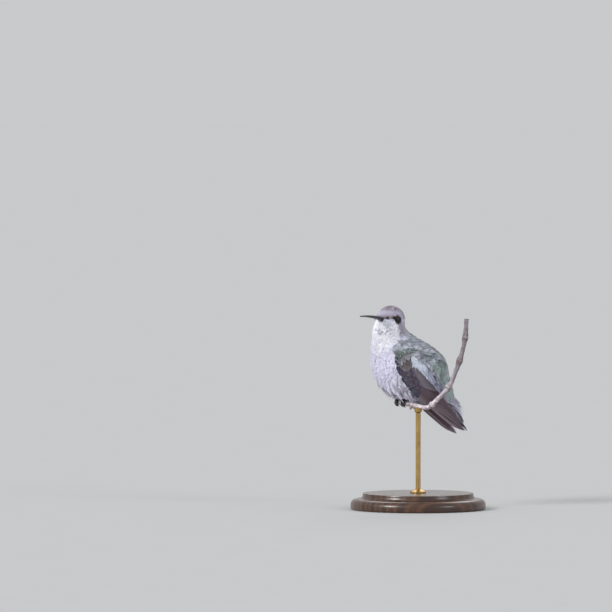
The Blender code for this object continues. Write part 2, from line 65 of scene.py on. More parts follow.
BILL_ROOT = 8.6
BILL_RISE = 0.3
BILL_LENGTH = 17.4
BILL_PITCH = math.radians(10)
BILL_BEND = math.radians(10)
BILL_BASE_HALF = (1.0, 0.95)
BILL_TIP_HALF = (0.3, 0.28)

EYE_RADIUS = 1.8
EYE_ANGLE = math.radians(62)
EYE_DISTANCE = 4.35
EYE_RISE = 0.3

LEADING_EDGE = (
    (-10.0, 9.9, 7.6),
    (-9.7, 11.9, 0.2),
    (-4.7, 12.1, -7.6),
    (1.0, 10.7, -13.0),
    (6.0, 9.2, -16.6),
    (11.0, 8.3, -20.3),
    (16.4, 7.5, -23.9),
    (21.2, 7.1, -25.6),
)
TRAILING_EDGE = (
    (-4.1, 12.5, 8.6),
    (-2.3, 13.8, 2.6),
    (2.1, 13.8, -3.2),
    (6.8, 12.2, -8.0),
    (11.1, 10.2, -12.4),
    (15.0, 9.0, -16.9),
    (19.0, 7.8, -21.2),
    (21.9, 7.2, -24.9),
)
WING_DROOP = {"left": 0.0, "right": math.radians(4.5)}
WING_SHIFT = {"left": (0.0, 0.0, 0.0), "right": (4.3, 0.5, 0.5)}
ARM_END = 0.3
ARM_SKEW = 0.12

TAIL_START = 22.0
TAIL_END = 35.0
TAIL_HEIGHT = 3.3
TAIL_PAIR_HALF_WIDTHS = (2.6, 3.1, 3.6, 4.0, 4.3)
TAIL_PAIR_SHORTER = (0.6, 0.0, 0.2, 0.7, 1.5)
TAIL_CAMBER = 0.9

TWIG_ROUTE = (
    (-4.0, 4.8, -13.7),
    (-3.5, 1.6, -13.7),
    (-2.7, -2.5, -14.0),
    (0.6, -7.0, -15.1),
    (3.4, -11.0, -15.3),
    (5.9, -13.7, -12.2),
    (10.2, -15.2, -7.4),
    (13.1, -15.9, -1.0),
    (15.5, -16.3, 6.0),
    (17.0, -16.3, 12.4),
    (17.6, -16.2, 20.0),
)
TWIG_RADIUS = 0.95
TWIG_KNOTS = (0.12, 0.27, 0.44, 0.6, 0.76, 0.9)
KNOT_SWELL = 0.4
KNOT_REACH = 0.022
TWIG_SPURS = (
    (0.26, ((-0.5, -0.4, 1.2), (-1.4, 0.1, 2.0)), 0.6),
    (0.243, ((-0.1, 0.0, -1.0), (-0.4, -0.1, -1.8)), 0.75),
)

FINE_GAP = 0.12
FOOT_SHARES = {"left": 0.19, "right": 0.075}
SHANK_RADIUS = 0.55
SHANK_TOP = np.array((-0.6, 2.5, -10.2))
TOE_RADIUS = 0.36
TOE_SPREAD = (-0.85, 0.0, 0.85)
TOE_SWEEP = math.radians(118)
HIND_SWEEP = math.radians(-100)
CLAW_START = math.radians(14)
CLAW_SWEEP = math.radians(34)

BASE_RADIUS = 27.0
BASE_HEIGHT = 6.5


# Vectors and curves


def to_world(points):
    return (np.asarray(points) + BODY_CENTRE) * MM


def unit(vectors):
    return vectors / np.maximum(np.linalg.norm(vectors, axis=-1, keepdims=True), 1e-9)


def dot(a, b):
    return np.sum(a * b, axis=-1)


def ease(x, low, high):
    """0 below low and 1 above high, with a smooth rise between."""
    t = np.clip((np.asarray(x, float) - low) / (high - low), 0, 1)
    return t * t * (3 - 2 * t)


def band(x, low, high, soft):
    """1 between low and high, and 0 beyond, with soft edges."""
    return ease(x, low - soft, low + soft) * (1 - ease(x, high - soft, high + soft))


def curve(values, share):
    """The value at each share from 0 to 1 of a smooth curve through evenly spaced values."""
    values, share = np.asarray(values, float), np.asarray(share, float)
    last = len(values) - 1
    start = np.clip((share * last).astype(int), 0, last - 1)
    u = (share * last - start)[..., None]
    a, b, c, d = (values[np.clip(start + step, 0, last)] for step in (-1, 0, 1, 2))
    bend = (a * 2 - b * 5 + c * 4 - d) * u**2 + (b * 3 - a - c * 3 + d) * u**3
    return (b * 2 + (c - a) * u + bend) / 2


def mix_values(a, b, share):
    return a * (1 - share) + b * share


def mix(a, b, share):
    """Between two colours or points."""
    return mix_values(a, b, np.asarray(share, float)[..., None])


def linear(red, green, blue):
    """A colour given as 0-255 display values, as light."""
    shown = np.array((red, green, blue)) / 255
    return np.where(shown <= 0.04045, shown / 12.92, ((shown + 0.055) / 1.055) ** 2.4)


def plain(colour, count):
    """The same colour for each of count tufts."""
    return np.broadcast_to(colour, (count, 3))


def only(kept, *arrays):
    """The kept rows of several arrays."""
    return [array[kept] for array in arrays]


def full_turn(count):
    """Evenly spaced angles once round."""
    return np.linspace(0, 2 * math.pi, count + 1)[:-1]


def head_axes():
    """Forward along the bill, out of the head's left side, and up."""
    forward = np.array((-math.cos(HEAD_YAW), -math.sin(HEAD_YAW), math.tan(HEAD_PITCH)))
    forward = unit(forward)
    left = unit(np.cross((0.0, 0.0, 1.0), forward))
    return forward, left, np.cross(forward, left)


HEAD_FORWARD, HEAD_LEFT, HEAD_UP = head_axes()
BILL_BASE = HEAD_CENTRE + HEAD_FORWARD * BILL_ROOT + HEAD_UP * BILL_RISE


def eye_place(side):
    """The eye's centre and the way it looks."""
    sign = -SIDE_SIGN[side]
    outward = HEAD_FORWARD * math.cos(EYE_ANGLE) + HEAD_LEFT * sign * math.sin(EYE_ANGLE)
    return HEAD_CENTRE + HEAD_UP * EYE_RISE + outward * EYE_DISTANCE, outward


# Meshes


def linked(name, data):
    """A new object in the scene."""
    obj = bpy.data.objects.new(name, data)
    bpy.context.scene.collection.objects.link(obj)
    return obj


def tint(mesh, colours, gloss=None):
    """Writes the Col and the Shine that the feathers' materials read."""
    shade = mesh.attributes.new("Col", "FLOAT_COLOR", "POINT")
    full = np.ones((len(mesh.vertices), 4), np.float32)
    full[:, :3] = np.reshape(colours, (-1, 3))
    shade.data.foreach_set("color", full.ravel())
    if gloss is not None:
        shine = mesh.attributes.new("Shine", "FLOAT", "POINT")
        shine.data.foreach_set("value", np.reshape(gloss, -1).astype(np.float32))


def add_mesh(name, points, faces, colours=None, gloss=None, maps=None, crease=50):
    """An object from points in millimetres and arrays of faces with 3 or 4 corners each."""
    mesh = bpy.data.meshes.new(name)
    points = to_world(points).reshape(-1, 3)
    loops = np.concatenate([np.asarray(part).reshape(-1) for part in faces])
    sizes = np.concatenate([np.full(len(part), np.asarray(part).shape[1]) for part in faces])
    starts = np.concatenate(([0], np.cumsum(sizes)[:-1]))
    mesh.vertices.add(len(points))
    mesh.vertices.foreach_set("co", points.astype(np.float32).ravel())
    mesh.loops.add(len(loops))
    mesh.loops.foreach_set("vertex_index", loops.astype(np.int32))
    mesh.polygons.add(len(sizes))
    mesh.polygons.foreach_set("loop_start", starts.astype(np.int32))
    mesh.update(calc_edges=True)
    mesh.shade_smooth()
    mesh.set_sharp_from_angle(angle=math.radians(crease))
    if colours is not None:
        tint(mesh, colours, gloss)
    for label, places in (maps or {}).items():
        layer = mesh.uv_layers.new(name=label)
        layer.data.foreach_set("uv", np.reshape(places, (-1, 2))[loops].astype(np.float32).ravel())
    return linked(name, mesh)


def grid_faces(rows, columns):
    """Quads over a grid of points, joined round across the columns."""
    r, c = np.meshgrid(np.arange(rows - 1), np.arange(columns), indexing="ij")
    after = (c + 1) % columns
    quads = [r * columns + c, r * columns + after, (r + 1) * columns + after, (r + 1) * columns + c]
    return np.stack(quads, -1).reshape(-1, 4)


def loft(rings):
    """Points and faces of a closed form through rings (rows, columns, 3), with a fan at each end."""
    rows, columns = rings.shape[:2]
    points = np.concatenate([rings.reshape(-1, 3), [rings[0].mean(0), rings[-1].mean(0)]])
    around = np.arange(columns)
    after = (around + 1) % columns
    near = np.stack([np.full(columns, rows * columns), after, around], -1)
    end = (rows - 1) * columns
    far = np.stack([np.full(columns, rows * columns + 1), end + around, end + after], -1)
    return points, [grid_faces(rows, columns), near, far]


def joined(parts):
    """One set of points and faces from several (points, faces) pairs."""
    points, faces, start = [], [], 0
    for some, shapes in parts:
        points.append(some)
        faces += [shape + start for shape in shapes]
        start += len(some)
    return np.concatenate(points), faces


def finish_piece(obj, material, slot, *nodes):
    """Gives a piece its material, and hides the CAD nodes it stands in for. The slot is not used."""
    obj.data.materials.clear()
    obj.data.materials.append(material)
    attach(obj, "root")
    if nodes:
        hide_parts(*nodes)


def add_lofted(name, rings, crease, material, slot, *nodes):
    """A piece that is one closed form through rings."""
    points, faces = loft(rings)
    finish_piece(add_mesh(name, points, faces, crease=crease), material, slot, *nodes)


# Materials


class Shader:
    """A Principled material and short ways to add nodes to it."""

    def __init__(self, name, colour, roughness, **values):
        self.material = bpy.data.materials.new(name)
        self.material.use_nodes = True
        self.nodes, self.links = self.material.node_tree.nodes, self.material.node_tree.links
        self.surface = self.nodes["Principled BSDF"]
        self.material.diffuse_color = (*colour, 1)
        self.set(**{"Base Color": (*colour, 1), "Roughness": roughness, **values})

    def set(self, **values):
        for socket, value in values.items():
            self.surface.inputs[socket.replace("_", " ")].default_value = value

    def feed(self, socket, value):
        """Links another node's output to a socket, or sets the socket's own value."""
        if isinstance(value, bpy.types.NodeSocket):
            self.links.new(value, socket)
        else:
            socket.default_value = value

    def add(self, kind, values=(), **settings):
        node = self.nodes.new(f"ShaderNode{kind}")
        for name, value in settings.items():
            setattr(node, name, value)
        for socket, value in dict(values).items():
            self.feed(node.inputs[socket], value)
        return node

    def attribute(self, name, output="Color"):
        return self.add("Attribute", attribute_name=name).outputs[output]

    def to_surface(self, socket, output):
        self.links.new(output, self.surface.inputs[socket])

    def place(self, stretch=(1, 1, 1)):
        """Object coordinates in millimetres, stretched."""
        coordinates = self.add("TexCoord")
        scaled = [value / MM for value in stretch]
        mapping = self.add("Mapping", {"Vector": coordinates.outputs["Object"], "Scale": scaled})
        return mapping.outputs["Vector"]

    def noise(self, vector, scale, detail=3.0, rough=0.55):
        values = {"Vector": vector, "Scale": scale, "Detail": detail, "Roughness": rough}
        return self.add("TexNoise", values).outputs["Fac"]

    def ramp(self, factor, *stops):
        node = self.add("ValToRGB", {"Fac": factor})
        elements = node.color_ramp.elements
        for i, (position, colour) in enumerate(stops):
            element = elements[i] if i < 2 else elements.new(position)
            element.position = position
            element.color = (*colour, 1) if len(np.shape(colour)) else (colour, colour, colour, 1)
        return node.outputs["Color"]

    def blend(self, kind, factor, a, b):
        node = self.add("Mix", data_type="RGBA", blend_type=kind)
        self.feed(node.inputs[0], factor)
        for index, value in ((6, a), (7, b)):
            self.feed(node.inputs[index], value if isinstance(value, bpy.types.NodeSocket) else (*value, 1))
        return node.outputs[2]

    def maths(self, operation, *values):
        node = self.add("Math", operation=operation)
        for socket, value in zip(node.inputs, values):
            self.feed(socket, value)
        return node.outputs[0]

    def bump(self, height, distance, strength=1.0):
        """Bump of a real height, in millimetres."""
        values = {"Height": height, "Distance": distance * MM, "Strength": strength}
        self.to_surface("Normal", self.add("Bump", values).outputs["Normal"])


def coat_material(name, grain=3.2):
    """Feathers coloured by the mesh's own Col, with its Shine as a metallic sheen."""
    made = Shader(name, (0.6, 0.6, 0.6), 0.85, Specular_IOR_Level=0.12, Sheen_Weight=0.15)
    shade = made.attribute("Col")
    shine = made.attribute("Shine", "Fac")
    grit = made.noise(made.place(), grain, detail=4)
    light = made.ramp(grit, (0.3, 0.86), (0.7, 1.1))
    made.to_surface("Base Color", made.blend("MULTIPLY", 1.0, shade, light))
    made.to_surface("Metallic", made.maths("MULTIPLY", shine, 0.7))
    made.to_surface("Roughness", made.maths("MULTIPLY_ADD", shine, -0.42, 0.8))
    made.bump(made.noise(made.place(), grain * 3), 0.02, 0.5)
    return made.material


def vane_material():
    """Flight feathers: Col and Shine, with fine slanting barbs from the Vane map."""
    made = Shader("flight_vanes", (0.1, 0.09, 0.1), 0.5, Specular_IOR_Level=0.4)
    shade = made.attribute("Col")
    shine = made.attribute("Shine", "Fac")
    flat = made.add("UVMap", uv_map="Vane").outputs["UV"]
    barbs = made.add(
        "TexWave", {"Vector": flat, "Scale": 1.0, "Distortion": 1.5, "Detail": 2.0}, bands_direction="X"
    ).outputs["Fac"]
    grit = made.noise(made.place(), 1.4, detail=4)
    light = made.ramp(grit, (0.3, 0.8), (0.7, 1.15))
    fine = made.ramp(barbs, (0.0, 0.86), (1.0, 1.08))
    tinted = made.blend("MULTIPLY", 1.0, shade, light)
    made.to_surface("Base Color", made.blend("MULTIPLY", 1.0, tinted, fine))
    made.to_surface("Metallic", made.maths("MULTIPLY", shine, 0.6))
    made.to_surface("Roughness", made.maths("MULTIPLY_ADD", barbs, 0.12, 0.42))
    made.bump(barbs, 0.02, 0.6)
    return made.material


def horn_material(name, colour, pale, rough):
    """Smooth dark horn with faint level streaks."""
    made = Shader(name, colour, rough, Specular_IOR_Level=0.55)
    streaks = made.noise(made.place((0.6, 0.6, 2.5)), 1.6, detail=5)
    made.to_surface("Base Color", made.ramp(streaks, (0.35, colour), (0.75, pale)))
    made.to_surface("Roughness", made.ramp(streaks, (0.3, rough - 0.06), (0.8, rough + 0.12)))
    made.bump(made.noise(made.place((1, 1, 3)), 4), 0.012, 0.5)
    return made.material


def toe_material():
    made = Shader("toe_skin", linear(46, 42, 46), 0.55, Specular_IOR_Level=0.45)
    grit = made.noise(made.place(), 3.5, detail=5)
    colours = ((0.3, linear(30, 27, 31)), (0.55, linear(56, 50, 54)), (0.8, linear(86, 78, 80)))
    made.to_surface("Base Color", made.ramp(grit, *colours))
    made.bump(grit, 0.03, 0.7)
    return made.material


def eye_material(side):
    """A dark brown iris round a black pupil, under a clear wet coat."""
    made = Shader(f"eye_{side}", (0.006, 0.005, 0.005), 0.4, Coat_Weight=0.8, Coat_Roughness=0.03)
    made.set(Specular_IOR_Level=0.05)
    centre, outward = eye_place(side)
    coordinates = made.add("TexCoord").outputs["Object"]
    pupil = to_world(centre + outward * EYE_RADIUS)
    away = made.add("VectorMath", {0: coordinates, 1: tuple(pupil)}, operation="DISTANCE")
    away = made.maths("DIVIDE", away.outputs["Value"], EYE_RADIUS * MM)
    fibres = made.noise(made.place(), 5, detail=4)
    iris = made.ramp(fibres, (0.3, linear(14, 9, 8)), (0.75, linear(30, 19, 15)))
    ring = made.ramp(away, (0.42, 0.0), (0.5, 1.0), (0.74, 1.0), (0.86, 0.0))
    made.to_surface("Base Color", made.blend("MIX", ring, (0.004, 0.004, 0.005), iris))
    return made.material


def lid_material(side):
    made = Shader(f"lid_skin_{side}", linear(58, 50, 54), 0.5, Specular_IOR_Level=0.4)
    grit = made.noise(made.place(), 6, detail=4)
    made.to_surface("Base Color", made.ramp(grit, (0.3, linear(36, 31, 35)), (0.7, linear(84, 74, 78))))
    made.bump(grit, 0.03, 0.7)
    return made.material


def bark_material():
    """Smooth lilac-grey bark, streaked along its length by the mesh's Grain, with small dark cracks."""
    made = Shader("twig_bark", linear(190, 182, 188), 0.85, Specular_IOR_Level=0.2)
    shade = made.attribute("Col")
    grain = made.attribute("Grain", "Vector")
    along = made.add("Mapping", {"Vector": grain, "Scale": (0.22, 1.0, 1.0)}).outputs["Vector"]
    blotches = made.add("Mapping", {"Vector": grain, "Scale": (0.5, 0.8, 0.8)}).outputs["Vector"]
    streaks = made.noise(along, 1.9, detail=6, rough=0.6)
    patches = made.noise(blotches, 0.9, detail=5, rough=0.6)
    narrow = made.add("Mapping", {"Vector": grain, "Scale": (1.0, 2.6, 2.6)}).outputs["Vector"]
    cracks = made.noise(narrow, 1.6, detail=6)
    stained = made.ramp(patches, (0.36, linear(176, 156, 148)), (0.56, linear(248, 244, 248)))
    tinted = made.blend("MULTIPLY", 0.55, shade, stained)
    lined = made.blend("MULTIPLY", 0.7, tinted, made.ramp(streaks, (0.34, 0.5), (0.52, 1.0), (0.8, 1.12)))
    cracked = made.blend("MULTIPLY", 0.6, lined, made.ramp(cracks, (0.34, 0.4), (0.44, 1.0)))
    made.to_surface("Base Color", cracked)
    made.to_surface("Roughness", made.ramp(cracks, (0.3, 0.92), (0.7, 0.7)))
    made.bump(made.maths("ADD", streaks, cracks), 0.07, 0.8)
    return made.material


def wood_material():
    """Dark polished walnut, its grain running along X."""
    made = Shader("stand_walnut", linear(86, 56, 38), 0.35, Coat_Weight=0.35, Coat_Roughness=0.15)
    place = made.place((0.12, 1.0, 1.0))
    warp = made.noise(place, 0.12, detail=3)
    rings = made.add(
        "TexWave",
        {"Vector": place, "Scale": 0.06, "Distortion": 7.0, "Detail": 3.0, "Detail Scale": 0.6},
        wave_type="BANDS",
        bands_direction="Y",
    ).outputs["Fac"]
    grain = made.ramp(rings, (0.1, linear(58, 35, 23)), (0.6, linear(98, 64, 43)), (0.9, linear(74, 47, 31)))
    pores = made.noise(made.place((0.15, 3, 3)), 1.2, detail=5)
    shade = made.blend("MULTIPLY", 0.8, grain, made.ramp(pores, (0.36, 0.5), (0.5, 1.0)))
    tinted = made.blend("MULTIPLY", 0.5, shade, made.ramp(warp, (0.3, 0.7), (0.7, 1.15)))
    made.to_surface("Base Color", tinted)
    made.to_surface("Roughness", made.ramp(pores, (0.3, 0.5), (0.6, 0.3)))
    made.bump(pores, 0.03, 0.4)
    return made.material


def brass_material():
    made = Shader("stand_brass", linear(196, 162, 98), 0.3, Metallic=1.0)
    brushed = made.noise(made.place((0.5, 0.5, 14)), 2.0, detail=3)
    worn = made.noise(made.place(), 0.25, detail=3)
    shade = made.ramp(worn, (0.3, linear(168, 134, 78)), (0.7, linear(206, 172, 108)))
    made.to_surface("Base Color", shade)
    made.to_surface("Roughness", made.ramp(brushed, (0.3, 0.24), (0.7, 0.42)))
    made.bump(brushed, 0.01, 0.3)
    return made.material


FLOOR_SHADE = (0.527, 0.5305, 0.533)


def floor_material():
    made = Shader("studio_floor", FLOOR_SHADE, 1.0, Specular_IOR_Level=0.0)
    mottle = made.noise(made.place(), 0.05, detail=2)
    paler = tuple(value * 1.012 for value in FLOOR_SHADE)
    made.to_surface("Base Color", made.ramp(mottle, (0.3, FLOOR_SHADE), (0.7, paler)))
    return made.material


# The studio and the stand

CAMERA_TURN = math.radians(-22)
CAMERA_RISE = math.radians(2)
CAMERA_FAR = 3000.0
FRAME_WIDTH = 244.8
BIRD_IN_FRAME = (41.6, 24.8)  # the bird's middle: right of and below the middle of the frame
SENSOR = 36.0
FLOOR_RADIUS = 14.0  # metres
SKY_COLOUR = (0.965, 0.98, 1.0, 1)
SKY_STRENGTH = 0.6
# Suns: where each one shines from, its angle across in degrees, power and colour.
SUNS = {
    "key": ((-0.88, -0.22, 0.5), 20, 2.1, (1.0, 0.99, 0.985)),
    "fill": ((0.45, -0.75, 0.35), 22, 0.6, (0.94, 0.97, 1.0)),
    "rim": ((0.3, 0.6, 0.55), 32, 0.6, (0.98, 0.99, 1.0)),
}


def studio():
    """The camera in the photo's direction, a pale floor, three soft suns and a plain sky."""
    level = math.cos(CAMERA_RISE)
    back = np.array(
        (math.sin(CAMERA_TURN) * level, -math.cos(CAMERA_TURN) * level, math.sin(CAMERA_RISE))
    )
    right = np.array((math.cos(CAMERA_TURN), math.sin(CAMERA_TURN), 0.0))
    up = np.cross(back, right)
    lens = bpy.data.cameras.new("camera")
    lens.sensor_width = SENSOR
    lens.lens = SENSOR * CAMERA_FAR / FRAME_WIDTH
    lens.clip_start, lens.clip_end = 0.05, 60.0
    camera = linked("camera", lens)
    aim = -right * BIRD_IN_FRAME[0] + up * BIRD_IN_FRAME[1]
    camera.location = to_world(aim + back * CAMERA_FAR)
    camera.rotation_euler = Vector(back).to_track_quat("Z", "Y").to_euler()
    bpy.context.scene.camera = camera

    bm = bmesh.new()
    bmesh.ops.create_circle(bm, cap_ends=True, segments=96, radius=FLOOR_RADIUS)
    mesh = bpy.data.meshes.new("studio_floor")
    bm.to_mesh(mesh)
    bm.free()
    mesh.materials.append(floor_material())
    floor = linked("studio_floor", mesh)

    for name, (source, spread, power, colour) in SUNS.items():
        light = bpy.data.lights.new(name, "SUN")
        light.angle = math.radians(spread)
        light.energy = power
        light.color = colour
        linked(name, light).rotation_euler = Vector(source).to_track_quat("Z", "Y").to_euler()

    scene = bpy.context.scene
    scene.world = bpy.data.worlds.new("studio")
    scene.world.use_nodes = True
    sky = scene.world.node_tree.nodes["Background"]
    sky.inputs["Color"].default_value = SKY_COLOUR
    sky.inputs["Strength"].default_value = SKY_STRENGTH
    scene.view_settings.view_transform = "Standard"


def stand():
    """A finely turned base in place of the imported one. The rod and the collar stay."""
    cove, ogee, heel = (np.linspace(0, math.pi / 2, count) for count in (8, 14, 6))
    radius, top = BASE_RADIUS, BASE_HEIGHT
    profile = [((radius - 5.0) * share, top) for share in (0.3, 0.6, 0.9, 1.0)]
    profile += [(radius - 4.0 - 0.9 * math.cos(t), top - 0.15 - 1.9 * math.sin(t)) for t in cove]
    profile += [(radius - 2.6 + 2.6 * math.sin(t), top - 2.2 - 2.3 * (1 - math.cos(t))) for t in ogee]
    profile += [(radius - 0.8 + 0.8 * math.cos(t), 0.8 - 0.8 * math.sin(t)) for t in heel]
    profile += [(radius * 0.5, 0.0)]
    turns = full_turn(160)
    rings = [
        np.stack([r * np.cos(turns), r * np.sin(turns), np.full_like(turns, z)], -1)
        for r, z in profile
    ]
    add_lofted("display_base", np.array(rings) - BODY_CENTRE, 40, wood_material(), "base_wood", "stand_base")
    brass = brass_material()
    for name in ("stand_rod", "stand_collar"):
        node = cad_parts[name]
        node.data.materials.clear()
        node.data.materials.append(brass)


# The twig and the feet


def twig_point(share):
    return curve(TWIG_ROUTE, share)


def twig_direction(share):
    share = np.asarray(share, float)
    return unit(twig_point(np.minimum(share + 0.01, 1)) - twig_point(np.maximum(share - 0.01, 0)))


def twig_radius(share):
    share = np.asarray(share, float)
    swell = sum(np.exp(-(((share - knot) / KNOT_REACH) ** 2)) for knot in TWIG_KNOTS)
    worn_end = 0.72 + 0.28 * np.minimum(share / 0.05, 1)
    return (TWIG_RADIUS + KNOT_SWELL * swell) * worn_end


def twig_frame(share):
    """Along the twig, up from it, and towards the bird's front."""
    direction = twig_direction(share)
    up = unit(np.array((0.0, 0.0, 1.0)) - direction * direction[..., 2:])
    front = np.cross(direction, up)
    front = front * np.where(front[..., :1] > 0, -1.0, 1.0)
    return direction, up, front


def round_twig(share, shift, angle, distance):
    """Points round the twig: angle 0 is on top, and positive angles go down its front."""
    direction, up, front = twig_frame(share)
    shift, angle, distance = (np.asarray(value, float)[..., None] for value in (shift, angle, distance))
    centre = twig_point(share) + direction * shift
    return centre + (up * np.cos(angle) + front * np.sin(angle)) * distance


def tube_rings(route, radii, sides):
    """Rings round a route, from a frame carried along it without twisting."""
    route = np.asarray(route, float)
    ahead = unit(np.gradient(route, axis=0))
    across = unit(np.cross(ahead[0], (0.31, 0.83, 0.47)))
    turns = full_turn(sides)
    rings = []
    for point, forward, radius in zip(route, ahead, radii):
        across = unit(across - forward * dot(across, forward))
        other = np.cross(forward, across)
        circle = across * np.cos(turns)[:, None] + other * np.sin(turns)[:, None]
        rings.append(point + circle * np.reshape(radius, (-1, 1)))
    return np.array(rings)


def ripple(share, turns, waves):
    """A smooth uneven surface: a sum of seeded waves along and round a tube."""
    total = 0.0
    for along, around, size, shift in waves:
        total = total + size * np.sin(share * along + turns * around + shift)
    return total


TWIG_ROWS, TWIG_SIDES, SPUR_SIDES = 520, 28, 14
RIPPLES = 26
BARK_DEPTH = 0.08  # how far the bark's middle lies under the twig's full radius
BARK_LIT, BARK_SHADE = linear(250, 244, 250), linear(186, 173, 178)
BARK_SHADE_HIGH_UP = linear(108, 101, 107)
KNOT_STAIN, RING_PALE, GROOVE_DARK = linear(118, 100, 98), linear(228, 220, 226), linear(84, 70, 68)
FRESH_BREAK = linear(196, 170, 138)
BREAK_ENDS = (linear(190, 164, 130), linear(184, 158, 124))
SPUR_BARK = linear(205, 194, 200)


def make_twig():
    """The twig with its knots, scars and broken end, and the spurs by it, as one piece."""
    sides = TWIG_SIDES
    share = np.linspace(0, 1, TWIG_ROWS)
    turns = full_turn(sides)
    waves = [
        (RNG.uniform(20, 260), int(RNG.integers(-5, 6)), RNG.uniform(0.006, 0.02), RNG.uniform(0, 6.3))
        for _ in range(RIPPLES)
    ]
    grid, round_about = share[:, None], turns[None, :]
    rough = ripple(grid, round_about, waves)
    near_knot, ring, groove = (
        sum(np.exp(-(((grid - knot - shift) / width) ** 2)) for knot in TWIG_KNOTS)
        for shift, width in ((0, KNOT_REACH * 0.7), (0.004, 0.005), (-0.009, 0.004))
    )
    bud = np.maximum(np.cos(round_about - grid * 40), 0) ** 6
    one_side = 0.3 + 0.7 * np.maximum(np.cos(round_about - grid * 31), 0)
    ring, groove = ring * one_side, groove * one_side
    radii = twig_radius(share)[:, None] - BARK_DEPTH + rough + 0.09 * (ring - groove) + 0.16 * near_knot * bud
    rings = tube_rings(twig_point(share), radii, sides)
    splinters = RNG.uniform(0, 0.5, sides)
    rings[0] += twig_direction(0.0) * splinters[:, None]
    rings[1] += twig_direction(0.0) * splinters[:, None] * 0.6
    up_side = unit(rings - twig_point(share)[:, None])[..., 2]
    # Painted light and shade: the bark is lighter where it faces up and darker where it faces down, and its
    # upper part is painted darker still as painted shade.
    colours = mix(BARK_SHADE, BARK_LIT, ease(up_side + rough * 4, -0.7, 0.6))
    colours = mix(colours, BARK_SHADE_HIGH_UP, ease(grid, 0.42, 0.75) * 0.78)
    colours = mix(colours, KNOT_STAIN, near_knot * 0.35)
    colours = mix(colours, RING_PALE, np.minimum(ring, 1) * 0.65)
    colours = mix(colours, GROOVE_DARK, np.minimum(groove, 1) * 0.75)
    colours = mix(colours, FRESH_BREAK, ease(0.012 - grid, 0, 0.012) * np.ones_like(rough))
    parts, shades = [loft(rings)], [np.concatenate([colours.reshape(-1, 3), BREAK_ENDS])]
    length = np.linalg.norm(np.diff(twig_point(share), axis=0), axis=1).sum()
    around = np.stack(np.broadcast_arrays(grid * length, np.cos(round_about), np.sin(round_about)), -1)
    grain = [around.reshape(-1, 3), around[[0, -1], 0]]
    for start, offsets, radius in TWIG_SPURS:
        along = np.linspace(0, 1, 24)
        line = twig_point(start) + curve(((0, 0, 0), *offsets), along)
        size = radius * (1.0 - 0.42 * along) * (1 + 0.05 * np.sin(along * 40))
        spur = tube_rings(line, size, SPUR_SIDES)
        spur[-1] += unit(line[-1] - line[-2]) * RNG.uniform(-0.35, 0.05, SPUR_SIDES)[:, None]
        parts.append(loft(spur))
        grain.append(parts[-1][0])
        shades.append(plain(SPUR_BARK, len(grain[-1])))
    points, faces = joined(parts)
    twig = add_mesh("twig_bark_and_breaks", points, faces, np.concatenate(shades), crease=60)
    lengthways = twig.data.attributes.new("Grain", "FLOAT_VECTOR", "POINT")
    lengthways.data.foreach_set("vector", np.concatenate(grain).astype(np.float32).ravel())
    finish_piece(twig, bark_material(), "bark", "perch_twig")


def scuted(length, count, depth):
    """Radius factors along a toe whose scales overlap like tiles, each thicker at its far edge."""
    phase = (length * count) % 1.0
    return 1 + depth * (phase - 0.5)


TOE_SIDES, CLAW_SIDES = 14, 12
TOE_JOINTS = (0.45, 0.72)
DIGITS = (
    *((f"front_{i + 1}", spread, TOE_SWEEP) for i, spread in enumerate(TOE_SPREAD)),
    ("hind", 0.0, HIND_SWEEP),
)


def shank_rings(share, side, reach):
    """The leg from the belly down to the ankle, with overlapping scales."""
    ankle = round_twig(share, 0, 0, reach + 1.25)
    knee = SHANK_TOP * (1, SIDE_SIGN[side], 1)
    along = np.linspace(0, 1, 40)
    size = SHANK_RADIUS * (0.86 + 0.12 * np.cos(along * 5)) * scuted(along, 9, 0.12)
    return tube_rings(knee + (ankle - knee) * along[:, None], size, TOE_SIDES)


def sole_rings(share, reach):
    """The pad on top of the twig, and the heel over it."""
    pad_line = round_twig(share, 0, np.linspace(-0.55, 0.55, 12), reach)
    pad_size = 0.5 * np.sin(np.linspace(0.5, math.pi - 0.5, 12)) ** 0.5
    heel_line = round_twig(share, 0, 0, np.linspace(reach - 0.1, reach + 1.3, 8))
    lines = ((pad_line, pad_size), (heel_line, np.linspace(0.52, 0.47, 8)))
    return [tube_rings(line, size, TOE_SIDES) for line, size in lines]


def toe_rings(share, reach, spread, sweep):
    """A toe round the twig, thicker at its joints."""
    along = np.linspace(0, 1, 44)
    spreading = np.sin(np.minimum(along * 7 / 6, 1) * math.pi / 2)
    route = round_twig(share, spread * spreading, along * sweep, reach)
    joints = sum(np.exp(-(((along - place) / 0.07) ** 2)) for place in TOE_JOINTS)
    size = TOE_RADIUS * (1.0 - 0.2 * along) * (1 + 0.1 * joints) * scuted(along, 13, 0.13)
    return tube_rings(route, size * 0.97, TOE_SIDES)


def claw_rings(share, reach, spread, sweep):
    """A hooked claw that goes on round the twig from its toe's end."""
    past = math.copysign(CLAW_START, sweep)
    angles = np.linspace(sweep + past * 0.55, sweep + past + math.copysign(CLAW_SWEEP, sweep), 22)
    curl = np.linspace(0, 1, 22)
    route = round_twig(share, spread, angles, reach + 0.3 * curl)
    return tube_rings(route, 0.27 * (1 - curl) ** 0.75 + 0.03, CLAW_SIDES)


